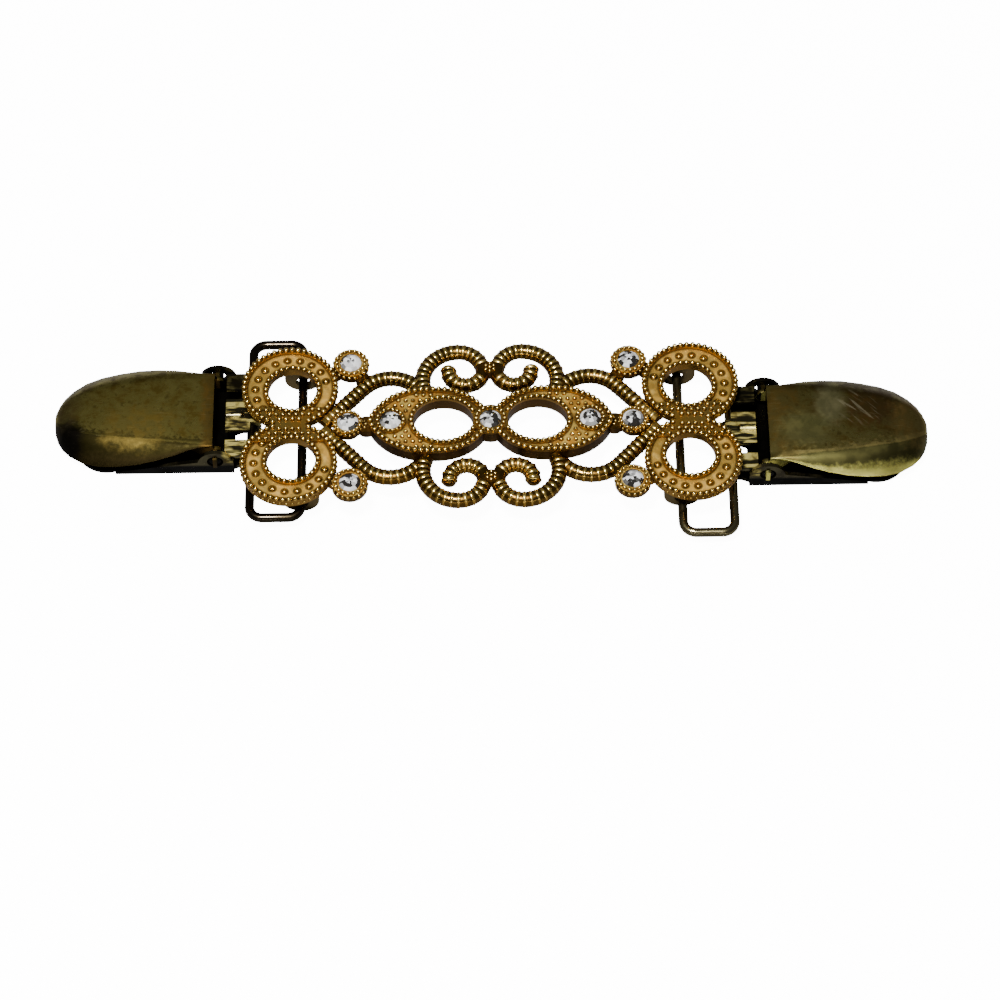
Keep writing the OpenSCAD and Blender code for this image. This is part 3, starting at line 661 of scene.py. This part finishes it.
def paintTopsAndSides(t, facingUp, openShare, colour, rough, v=None):
    # beads and ribs: a painted highlight, pale gold, on their tops, and painted shade, brown, low on their
    # sides
    paintedHighlight = times(t, spread(t, facingUp, 0.50, 0.92), openShare)
    colour = mixColours(t, times(t, paintedHighlight, 0.8), colour, gilt["tipHighlight"])
    colour = mixColours(t, spread(t, facingUp, 0.10, 0.55, 0.75, 0.0), colour, gilt["wall"])
    return colour, rough


def paintCasting(t, facingUp, openShare, colour, rough, v):
    x, y, z = axesOf(t, v)
    up = spread(t, facingUp, 0.75, 0.95)
    onLoops = spreadMm(t, math2(t, "ABSOLUTE", x), giltEdges["loopsFrom"])
    aboveBack = spreadMm(t, z, giltEdges["floorFrom"])
    # the eyes' sunk fields are satin, in yellow and copper clouds
    field = times(t, up, spreadMm(t, z, giltEdges["fieldFrom"]),
                  spreadMm(t, z, giltEdges["fieldTo"], 1.0, 0.0))
    clouds = mixColours(t, spread(t, noiseOf(t, v, 420.0, 4.0), 0.42, 0.60), gilt["cloud"], gilt["field"])
    colour = mixColours(t, times(t, field, openShare, 0.9), colour, clouds)
    rough = plus(t, rough, times(t, field, 0.18))
    # the loops' sunk channels are satin too, and paler
    channel = times(t, up, aboveBack, spreadMm(t, z, giltEdges["floorTo"], 1.0, 0.0), onLoops, openShare)
    satin = mixColours(t, spread(t, noiseOf(t, v, 900.0, 4.0), 0.42, 0.66), gilt["satin"], gilt["clean"])
    colour = mixColours(t, channel, colour, satin)
    rough = plus(t, rough, times(t, channel, 0.2))
    # painted shade: a dark ring round the foot of each pip
    colour = mixColours(t, times(t, pipShadeRings(t, x, y), onLoops, 0.8, aboveBack), colour, gilt["paintedShade"])
    # painted shade: the back and the sides are plainer and darker
    side = spread(t, facingUp, -0.1, 0.60, 0.92, 0.0)
    colour = mixColours(t, side, colour, gilt["wall"])
    rough = plus(t, rough, times(t, side, 0.15))
    # painted shade: scrolls, strands and webs are dark between their gilt ribs
    offLoops = math2(t, "SUBTRACT", 1.0, onLoops, True)
    grooveShadeMask = times(t, spreadMm(t, z, giltEdges["barsTo"], 1.0, 0.0), offLoops)
    colour = mixColours(t, times(t, grooveShadeMask, 0.86), colour, gilt["grooveShade"])
    # the lugs under the loops, below 5 mm, are darker olive
    lugs = times(t, spreadMm(t, z, giltEdges["lugsTo"], 1.0, 0.0), onLoops)
    colour = mixColours(t, times(t, lugs, 0.9), colour, gilt["lug"])
    return colour, rough


def makeGilt(name, paint):
    m, t, shader = newMaterial(name)
    place = t.nodes.new("ShaderNodeTexCoord")
    v = place.outputs["Object"]
    # painted shade in the crevices, from the hollow mask
    crevice = hollowMask(t, 0.9, 0.55, 0.97)
    metal = placeGroup(t, agedMetal, Vector=v, Clean=gilt["clean"], Aged=gilt["aged"], Grime=gilt["paintedShade"],
                       Grime_Mask=times(t, crevice, 0.97), Mottle_Scale=gilt["mottle"],
                       Fine_Scale=gilt["fine"], Polished=gilt["polished"], Dull=gilt["dull"])
    facingUp = axesOf(t, place.outputs["Normal"])[2]
    openShare = math2(t, "SUBTRACT", 1.0, crevice, True)
    colour, rough = paint(t, facingUp, openShare, metal.outputs["Color"], metal.outputs["Roughness"], v)
    finishMetal(t, shader, colour, rough, metal.outputs["Height"])
    return m


giltCasting = makeGilt("giltCasting", paintCasting)
giltBeads = makeGilt("giltBeads", paintTopsAndSides)
giveMaterial(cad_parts["ornament_panel"], giltCasting)
for piece in (loopMilgrain, eyeMilgrain, scrollRibs, cupMilgrain):
    giveMaterial(piece, giltBeads)
    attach(piece, "ornament")

# stones and foil: facets in wedges and rings, a twist from ring to ring, and how many facets flash, as
# painted reflections
glass = {"tint": (1.0, 1.0, 0.99, 1), "dark": (0.02, 0.018, 0.016, 1), "clear": 0.22, "ior": 1.6,
         "wedges": 9, "ring": 0.64, "twist": 0.4, "paintedFlash": (0.30, 0.78), "seedFrom": 0.7, "seedStep": 5.3}
foilSilver = {"bright": (0.95, 0.95, 0.94, 1), "dulled": (0.55, 0.53, 0.49, 1), "metallic": 0.5}


def makeStoneGlass(node, spot, seed):
    # cut glass over foil, with painted reflections: each wedge of each ring is painted its own share of
    # reflected light, from dark to pale
    m, t, shader = newMaterial("cutGlass_" + node)
    v = t.nodes.new("ShaderNodeTexCoord").outputs["Object"]
    centred = t.nodes.new("ShaderNodeMapping")
    centred.inputs["Location"].default_value = [-c * mm for c in spot]
    t.links.new(v, centred.inputs["Vector"])
    x, y = axesOf(t, centred.outputs["Vector"])[:2]
    ring = math2(t, "FLOOR", math2(t, "DIVIDE", lengthOf(t, x, y), glass["ring"] * mm))
    turn = math2(t, "ADD", math2(t, "ARCTAN2", y, x), times(t, ring, glass["twist"]))
    wedge = math2(t, "FLOOR", times(t, turn, glass["wedges"] / (2 * math.pi)))
    cell = t.nodes.new("ShaderNodeCombineXYZ")
    t.links.new(wedge, cell.inputs["X"])
    t.links.new(ring, cell.inputs["Y"])
    cell.inputs["Z"].default_value = seed
    chance = t.nodes.new("ShaderNodeTexWhiteNoise")
    chance.noise_dimensions = "3D"
    t.links.new(cell.outputs[0], chance.inputs["Vector"])
    paintedFlash = spread(t, chance.outputs["Value"], *glass["paintedFlash"])
    t.links.new(mixColours(t, paintedFlash, glass["dark"], glass["tint"]), shader.inputs["Base Color"])
    t.links.new(spread(t, noiseOf(t, v, 2600.0, 3.0), 0.45, 0.75, 0.02, 0.10), shader.inputs["Roughness"])
    shader.inputs["Transmission Weight"].default_value = glass["clear"]
    shader.inputs["IOR"].default_value = glass["ior"]
    return m


def makeFoilSilver():
    m, t, shader = newMaterial("silverFoil")
    v = t.nodes.new("ShaderNodeTexCoord").outputs["Object"]
    dull = spread(t, noiseOf(t, v, 1200.0, 4.0), 0.42, 0.70)
    colour = mixColours(t, dull, foilSilver["bright"], foilSilver["dulled"])
    t.links.new(colour, shader.inputs["Base Color"])
    t.links.new(spread(t, dull, 0.0, 1.0, 0.12, 0.40), shader.inputs["Roughness"])
    shader.inputs["Metallic"].default_value = foilSilver["metallic"]
    bumpFrom(t, noiseOf(t, v, 3000.0, 2.0), 0.15, 0.02, shader)
    return m


for i, (node, spot) in enumerate(stonePlaces.items()):
    seed = glass["seedStep"] * i + glass["seedFrom"]
    giveMaterial(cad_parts[node], makeStoneGlass(node, spot, seed))
giveMaterial(foils, makeFoilSilver())
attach(foils, "ornament")

# dark bronze of links and clips
bronze = {"clean": (0.12, 0.105, 0.053, 1), "aged": (0.045, 0.036, 0.018, 1),
          "paintedShade": (0.003, 0.0026, 0.002, 1), "mottle": 340.0, "fine": 2200.0, "polished": 0.20,
          "dull": 0.40}
# the left link's tones are a darker copy of the right's: painted shade
linkTones = {"clean": (0.25, 0.215, 0.11, 1), "aged": (0.10, 0.082, 0.038, 1),
             "cleanLeftShaded": (0.05, 0.038, 0.023, 1), "agedLeftShaded": (0.02, 0.015, 0.008, 1),
             "mottle": 180.0, "fine": 2600.0, "polished": 0.18, "dull": 0.38}
# painted glints of bright brass in streaks on the fingers, and where they lie: distance from the middle and
# height, in mm
glintBrass = {"clean": (0.95, 0.80, 0.24, 1), "aged": (0.10, 0.075, 0.02, 1), "across": (46.0, 45.2),
          "up": (2.6, 3.4), "streaks": (0.2, 900.0, 0.43, 0.53), "rougher": 0.24}
# painted shadow, black, on the plate under the cover, in mm, and on each clip's far side, from its middle
# along Y
paintedShadowAt = {"up": (2.6, 1.9), "across": (43.0, 43.6), "farShadow": (4.8, 5.6), "farShadowShare": 0.94}
clipMiddle = {"right": 0.1, "left": 4.3}


def streaksOf(tree, vector, turn, squeeze, scale, low, high):
    # fine parallel streaks, turned about Z
    stretch = tree.nodes.new("ShaderNodeMapping")
    stretch.vector_type = "TEXTURE"
    stretch.inputs["Rotation"].default_value = (0.0, 0.0, -turn)
    stretch.inputs["Scale"].default_value = (1.0 / squeeze, 1.0, 1.0)
    tree.links.new(vector, stretch.inputs["Vector"])
    return spread(tree, noiseOf(tree, stretch.outputs["Vector"], scale, 2.0), low, high)


def makeLinkBronze():
    m, t, shader = newMaterial("linkBronze")
    v = t.nodes.new("ShaderNodeTexCoord").outputs["Object"]
    onLeft = math2(t, "LESS_THAN", axesOf(t, v)[0], 0.0)
    clean = mixColours(t, onLeft, linkTones["clean"], linkTones["cleanLeftShaded"])
    aged = mixColours(t, onLeft, linkTones["aged"], linkTones["agedLeftShaded"])
    # painted shade in the link's hollows
    inShade = times(t, hollowMask(t, 2.0, 0.35, 0.8), 0.8)
    metal = placeGroup(t, agedMetal, Vector=v, Clean=clean, Aged=aged, Grime=bronze["paintedShade"],
                       Grime_Mask=inShade, Mottle_Scale=linkTones["mottle"], Fine_Scale=linkTones["fine"],
                       Polished=linkTones["polished"], Dull=linkTones["dull"])
    finishMetal(t, shader, metal.outputs["Color"], metal.outputs["Roughness"], metal.outputs["Height"])
    return m


def makeBaseBronze():
    # dark plating, with painted glints of bright brass in streaks on the folded fingers
    m, t, shader = newMaterial("clipBaseBronze")
    v = t.nodes.new("ShaderNodeTexCoord").outputs["Object"]
    x, y, z = axesOf(t, v)
    across = math2(t, "ABSOLUTE", x)
    paintedGlints = times(t, spreadMm(t, across, glintBrass["across"]), spreadMm(t, z, glintBrass["up"]),
                   streaksOf(t, v, 0.0, *glintBrass["streaks"]))
    # painted shadow: the plate under the cover and between the fingers is black
    underCoverShadow = times(t, spreadMm(t, z, paintedShadowAt["up"]), spreadMm(t, across, paintedShadowAt["across"]))
    onLeft = math2(t, "LESS_THAN", x, 0.0)
    apart = (clipMiddle["left"] - clipMiddle["right"]) * mm
    alongY = math2(t, "SUBTRACT", y, times(t, onLeft, apart))
    farEnds = [clipMiddle["right"] + far for far in paintedShadowAt["farShadow"]]
    farShadow = times(t, spreadMm(t, alongY, farEnds), paintedShadowAt["farShadowShare"])
    # painted shade in the crevices too
    crevices = times(t, hollowMask(t, 2.5, 0.30, 0.85), 0.9)
    inShade = math2(t, "MAXIMUM", crevices, math2(t, "MAXIMUM", underCoverShadow, farShadow))
    clean = mixColours(t, paintedGlints, bronze["clean"], glintBrass["clean"])
    aged = mixColours(t, paintedGlints, bronze["aged"], glintBrass["aged"])
    metal = placeGroup(t, agedMetal, Vector=v, Clean=clean, Aged=aged, Grime=bronze["paintedShade"],
                       Grime_Mask=inShade, Mottle_Scale=bronze["mottle"], Fine_Scale=bronze["fine"],
                       Polished=bronze["polished"], Dull=bronze["dull"])
    rough = plus(t, metal.outputs["Roughness"], times(t, paintedGlints, glintBrass["rougher"]))
    finishMetal(t, shader, metal.outputs["Color"], rough, metal.outputs["Height"])
    return m


linkBronze = makeLinkBronze()
baseBronze = makeBaseBronze()
for side in ("left", "right"):
    giveMaterial(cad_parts["link_" + side], linkBronze)
    giveMaterial(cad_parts["clip_base_" + side], baseBronze)

# the covers' tones, and the painted light and shade of their crease, flank and lower edge
covers = {
    "left": {"clean": (0.40, 0.345, 0.092, 1), "aged": (0.145, 0.105, 0.021, 1), "mottle": 520.0,
             "crease": ((0.06, 0.05, 0.014, 1), 0.8), "flankShade": ((0.015, 0.012, 0.0034, 1), 0.99),
             "lowEdgeHighlight": ((0.042, 0.030, 0.010, 1), 0.8), "flankRough": 0.2, "scuffs": 0.0},
    "right": {"clean": (0.29, 0.255, 0.078, 1), "aged": (0.105, 0.073, 0.016, 1), "mottle": 420.0,
              "crease": ((0.44, 0.36, 0.12, 1), 0.7), "flankShade": ((0.055, 0.053, 0.017, 1), 0.93),
              "lowEdgeHighlight": ((1.0, 0.93, 0.24, 1), 0.97), "flankRough": 0.06, "scuffs": 0.45},
}
# their stains: place, stretch, reach, raggedness, colour and strength, and the grain of their ragged edges
stains = {
    "left": [((-0.0722, -0.0008, 0.003), (1.0, 0.62, 0.3), 0.0030, 0.9, (0.005, 0.004, 0.003, 1), 0.98),
             ((-0.0735, 0.0075, 0.003), (1.0, 0.62, 0.3), 0.0040, 0.9, (0.12, 0.095, 0.05, 1), 0.35),
             ((-0.0480, 0.0043, 0.005), (2.2, 0.30, 0.3), 0.0040, 0.6, (0.15, 0.085, 0.02, 1), 0.7),
             ((-0.0600, 0.0010, 0.005), (0.6, 1.0, 0.3), 0.0045, 1.2, (0.25, 0.175, 0.04, 1), 0.4)],
    "right": [((0.0500, 0.0010, 0.005), (1.3, 0.5, 0.3), 0.0050, 1.3, (0.16, 0.10, 0.025, 1), 0.5),
              ((0.0655, 0.0035, 0.005), (0.8, 0.9, 0.3), 0.0048, 1.7, (0.085, 0.046, 0.014, 1), 0.85),
              ((0.0720, 0.0010, 0.005), (1.0, 0.7, 0.3), 0.0040, 1.6, (0.27, 0.185, 0.055, 1), 0.5),
              ((0.0580, 0.0035, 0.005), (1.2, 0.7, 0.3), 0.0036, 1.0, (0.27, 0.26, 0.13, 1), 0.6),
              ((0.0535, -0.0015, 0.005), (0.9, 1.0, 0.3), 0.0045, 1.0, (0.17, 0.175, 0.065, 1), 0.6)],
    "leftGrain": 500.0, "rightGrain": 850.0,
}
# how far the near side has turned down, as its normal's Y, where each of its bands of painted light and
# shade begins and is full
turnedAt = {"crease": (-0.03, -0.07), "flankShade": (-0.09, -0.20), "lowEdgeHighlight": (-0.54, -0.69)}
coverSkin = {"fine": 1250.0, "speckle": 0.7, "polished": 0.27, "dull": 0.38, "bump": 0.12,
             "scratches": (0.08, 3200.0, 0.58, 0.74), "scratchTint": (0.50, 0.45, 0.22, 1),
             "scratchOpen": 0.12, "scratchLess": 0.11, "scratchDeep": 0.15}
# painted shadow on the inner end beside the fingers: distance from the middle in mm, and how far it faces
# along X
innerEnd = {"across": (49.0, 48.4), "facing": (0.6, 0.9)}
# the ear's hole round the flat tang is painted black as shade: its axis, its radius and the tang's side, in
# mm
earHole = {"x": 46.954, "z": 3.3, "hole": (1.28, 1.20), "tang": (0.36, 0.41)}
# pale scuffs: where they lie, how far they reach, and how their streaks are turned and spaced
scuffs = {"place": (0.0632, 0.0032, 0.0059), "shares": (1.0, 1.0, 0.3), "reach": 0.0042, "ragged": 0.8,
          "turn": 0.75, "streaks": (0.12, 1500.0, 0.54, 0.66), "tint": (0.60, 0.54, 0.34, 1)}


def paintShadowEnds(t, axes, facingX, colour):
    # painted shadow: the inner end beside the fingers and the ear's hole are black
    across = math2(t, "ABSOLUTE", axes[0])
    inner = times(t, spread(t, math2(t, "ABSOLUTE", facingX), *innerEnd["facing"]),
                  spreadMm(t, across, innerEnd["across"]))
    colour = mixColours(t, inner, colour, bronze["paintedShade"])
    besideX = math2(t, "ABSOLUTE", math2(t, "SUBTRACT", across, earHole["x"] * mm))
    besideZ = math2(t, "SUBTRACT", axes[2], earHole["z"] * mm)
    holeShade = times(t, spreadMm(t, lengthOf(t, besideX, besideZ), earHole["hole"]),
                   spreadMm(t, besideX, earHole["tang"]))
    return mixColours(t, holeShade, colour, bronze["paintedShade"])


def makeCoverBronze(side):
    # satin cover with its own stains and fine lengthwise scratches, and painted light and shade where its
    # near side turns down
    values = covers[side]
    m, t, shader = newMaterial("coverBronze" + side.capitalize())
    place = t.nodes.new("ShaderNodeTexCoord")
    v = place.outputs["Object"]
    # painted shade in the cover's hollows
    inShade = times(t, hollowMask(t, 2.5, 0.25, 0.75), 0.9)
    metal = placeGroup(t, agedMetal, Vector=v, Clean=values["clean"], Aged=values["aged"],
                       Grime=bronze["paintedShade"], Grime_Mask=inShade, Mottle_Scale=values["mottle"],
                       Fine_Scale=coverSkin["fine"], Speckle=coverSkin["speckle"],
                       Polished=coverSkin["polished"], Dull=coverSkin["dull"])
    colour = metal.outputs["Color"]
    rough = metal.outputs["Roughness"]
    facingX, facingY = axesOf(t, place.outputs["Normal"])[:2]
    # painted light and shade: crease, flank and lower edge follow each other as the near side turns down,
    # with ragged borders; the flank is painted shade, the right's crease and lower edge painted highlights,
    # the left's crease painted shade and its lower edge a faint painted highlight
    grain = times(t, math2(t, "SUBTRACT", noiseOf(t, v, 1500.0, 3.0), 0.5), 0.12)
    turned = math2(t, "ADD", facingY, grain)
    masks = {key: spread(t, turned, *ends) for key, ends in turnedAt.items()}
    for key, mask in masks.items():
        tint, strength = values[key]
        colour = mixColours(t, times(t, mask, strength), colour, tint)
    rough = plus(t, rough, times(t, masks["flankShade"], values["flankRough"]))
    for spot, shares, reach, ragged, tint, strength in stains[side]:
        patch = placeGroup(t, raggedPatch, Vector=v, Place=spot, Shares=shares, Reach=reach, Ragged=ragged,
                           Grain=stains[side + "Grain"])
        amount = times(t, patch.outputs["Mask"], strength)
        colour = mixColours(t, amount, colour, tint)
        rough = plus(t, rough, times(t, amount, 0.08))
    scratch = streaksOf(t, v, 0.0, *coverSkin["scratches"])
    lost = times(t, masks["flankShade"], coverSkin["scratchLess"])
    shown = math2(t, "SUBTRACT", coverSkin["scratchOpen"], lost)
    colour = mixColours(t, times(t, scratch, shown), colour, coverSkin["scratchTint"])
    if values["scuffs"]:
        near = placeGroup(t, raggedPatch, Vector=v, Place=scuffs["place"], Shares=scuffs["shares"],
                          Reach=scuffs["reach"], Ragged=scuffs["ragged"])
        lines = streaksOf(t, v, scuffs["turn"], *scuffs["streaks"])
        amount = times(t, near.outputs["Mask"], lines, values["scuffs"])
        colour = mixColours(t, amount, colour, scuffs["tint"])
    colour = paintShadowEnds(t, axesOf(t, v), facingX, colour)
    height = math2(t, "SUBTRACT", metal.outputs["Height"], times(t, scratch, coverSkin["scratchDeep"]))
    finishMetal(t, shader, colour, rough, height, coverSkin["bump"])
    return m


# smooth pressed covers: lengths in mm and angles in degrees
leverShape = {"merge": 0.002, "flatFaces": 40, "squareFaces": 60,
              "edge": 0.08, "edgeSteps": 2, "edgeFrom": 55, "smooth": 48}


def makeLever(side):
    # the lever's sheet with its facets smoothed and its edges slightly rounded
    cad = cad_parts["clip_lever_" + side]
    lever = copyOwn(cad, "leverCover" + side.capitalize())
    lever.parent = None
    for key in list(lever.keys()):
        del lever[key]
    lever.matrix_world = Matrix.Identity(4)
    pickOnly(lever)
    bpy.ops.object.mode_set(mode="EDIT")
    bpy.ops.mesh.select_all(action="SELECT")
    bpy.ops.mesh.customdata_custom_splitnormals_clear()
    bpy.ops.mesh.remove_doubles(threshold=leverShape["merge"] * mm)
    bpy.ops.mesh.tris_convert_to_quads(face_threshold=math.radians(leverShape["flatFaces"]),
                                       shape_threshold=math.radians(leverShape["squareFaces"]))
    bpy.ops.object.mode_set(mode="OBJECT")
    edge = lever.modifiers.new("edge", "BEVEL")
    edge.width = leverShape["edge"] * mm
    edge.segments = leverShape["edgeSteps"]
    edge.limit_method = "ANGLE"
    edge.angle_limit = math.radians(leverShape["edgeFrom"])
    bpy.ops.object.modifier_apply(modifier=edge.name)
    bpy.ops.object.shade_smooth_by_angle(angle=math.radians(leverShape["smooth"]))
    giveMaterial(lever, makeCoverBronze(side))
    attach(lever, "lever_" + side)
    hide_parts("clip_lever_" + side)
    return lever


levers = [makeLever(side) for side in ("left", "right")]
print("levers:", [len(p.data.polygons) for p in levers])

# plastic grip pads, with painted shade in their hollows
padPlastic = {"pale": (0.42, 0.41, 0.39, 1), "yellowed": (0.33, 0.30, 0.24, 1),
              "inShade": (0.14, 0.125, 0.10, 1), "inShadeShare": 0.5}


def makePadPlastic():
    m, t, shader = newMaterial("gripPlastic")
    v = t.nodes.new("ShaderNodeTexCoord").outputs["Object"]
    cloud = spread(t, noiseOf(t, v, 320.0, 5.0), 0.40, 0.66)
    inShade = hollowMask(t, 1.2, 0.25, 0.7)
    colour = mixColours(t, cloud, padPlastic["pale"], padPlastic["yellowed"])
    colour = mixColours(t, times(t, inShade, padPlastic["inShadeShare"]), colour, padPlastic["inShade"])
    t.links.new(colour, shader.inputs["Base Color"])
    t.links.new(spread(t, noiseOf(t, v, 2000.0, 3.0), 0.35, 0.7, 0.28, 0.5), shader.inputs["Roughness"])
    bumpFrom(t, noiseOf(t, v, 2600.0, 2.0), 0.15, 0.05, shader)
    return m


gripPlastic = makePadPlastic()
for side in ("left", "right"):
    giveMaterial(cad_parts["grip_pad_" + side], gripPlastic)

# floor, light and camera; a lamp is its name, place, width and depth, and power, and faces the origin
studio = {"floor": (0.93, 0.93, 0.925, 1), "floorPaler": (0.95, 0.95, 0.945, 1), "floorSize": 3.0,
          "floorZ": -0.00005, "glow": 14.0, "floorSeen": 0.20, "sky": (1.0, 1.0, 1.0, 1), "skyLevel": 0.11,
          "lamps": (("keyBox", (-0.10, -0.16, 0.70), (0.12, 0.12), 10.4),
                    ("frontStrip", (0.0, -0.70, 0.22), (0.9, 0.04), 0.8)),
          "lens": 134.57, "sensor": 36.0, "clip": (0.01, 20.0),
          "camera": (0.0, -0.36776, 0.52592), "aim": (34.11868, 0.34833, -0.74360)}


def layFloor():
    deselectAll()
    bpy.ops.mesh.primitive_plane_add(size=studio["floorSize"], location=(0, 0, studio["floorZ"]))
    floor = bpy.context.object
    floor.name = "floor"
    settle(floor)
    m, t, shader = newMaterial("paleFloor")
    v = t.nodes.new("ShaderNodeTexCoord").outputs["Object"]
    # lit from behind like a light table, while the metal mirrors only a dim grey floor
    seen = t.nodes.new("ShaderNodeLightPath").outputs["Is Camera Ray"]
    paper = mixColours(t, noiseOf(t, v, 30.0), studio["floor"], studio["floorPaler"])
    dim = (studio["floorSeen"],) * 3 + (1,)
    t.links.new(mixColours(t, seen, dim, paper), shader.inputs["Base Color"])
    t.links.new(mixColours(t, seen, (0.0, 0.0, 0.0, 1), paper), shader.inputs["Emission Color"])
    shader.inputs["Emission Strength"].default_value = studio["glow"]
    shader.inputs["Roughness"].default_value = 0.9
    shader.inputs["Specular IOR Level"].default_value = 0.0
    giveMaterial(floor, m)


def lightStudio():
    world = bpy.data.worlds.new("studioSky")
    world.use_nodes = True
    sky = world.node_tree.nodes["Background"]
    sky.inputs["Color"].default_value = studio["sky"]
    sky.inputs["Strength"].default_value = studio["skyLevel"]
    bpy.context.scene.world = world
    for name, spot, size, power in studio["lamps"]:
        data = bpy.data.lights.new(name, "AREA")
        data.shape = "RECTANGLE"
        data.size, data.size_y = size
        data.energy = power
        lamp = bpy.data.objects.new(name, data)
        bpy.context.scene.collection.objects.link(lamp)
        lamp.location = spot
        lamp.rotation_euler = Vector(spot).to_track_quat("Z", "Y").to_euler()


def placeCamera():
    data = bpy.data.cameras.new("photoCamera")
    data.sensor_width = studio["sensor"]
    data.lens = studio["lens"]
    data.clip_start, data.clip_end = studio["clip"]
    camera = bpy.data.objects.new("photoCamera", data)
    bpy.context.scene.collection.objects.link(camera)
    camera.location = studio["camera"]
    camera.rotation_euler = [math.radians(a) for a in studio["aim"]]
    bpy.context.scene.camera = camera


layFloor()
lightStudio()
placeCamera()
print("studio ready")
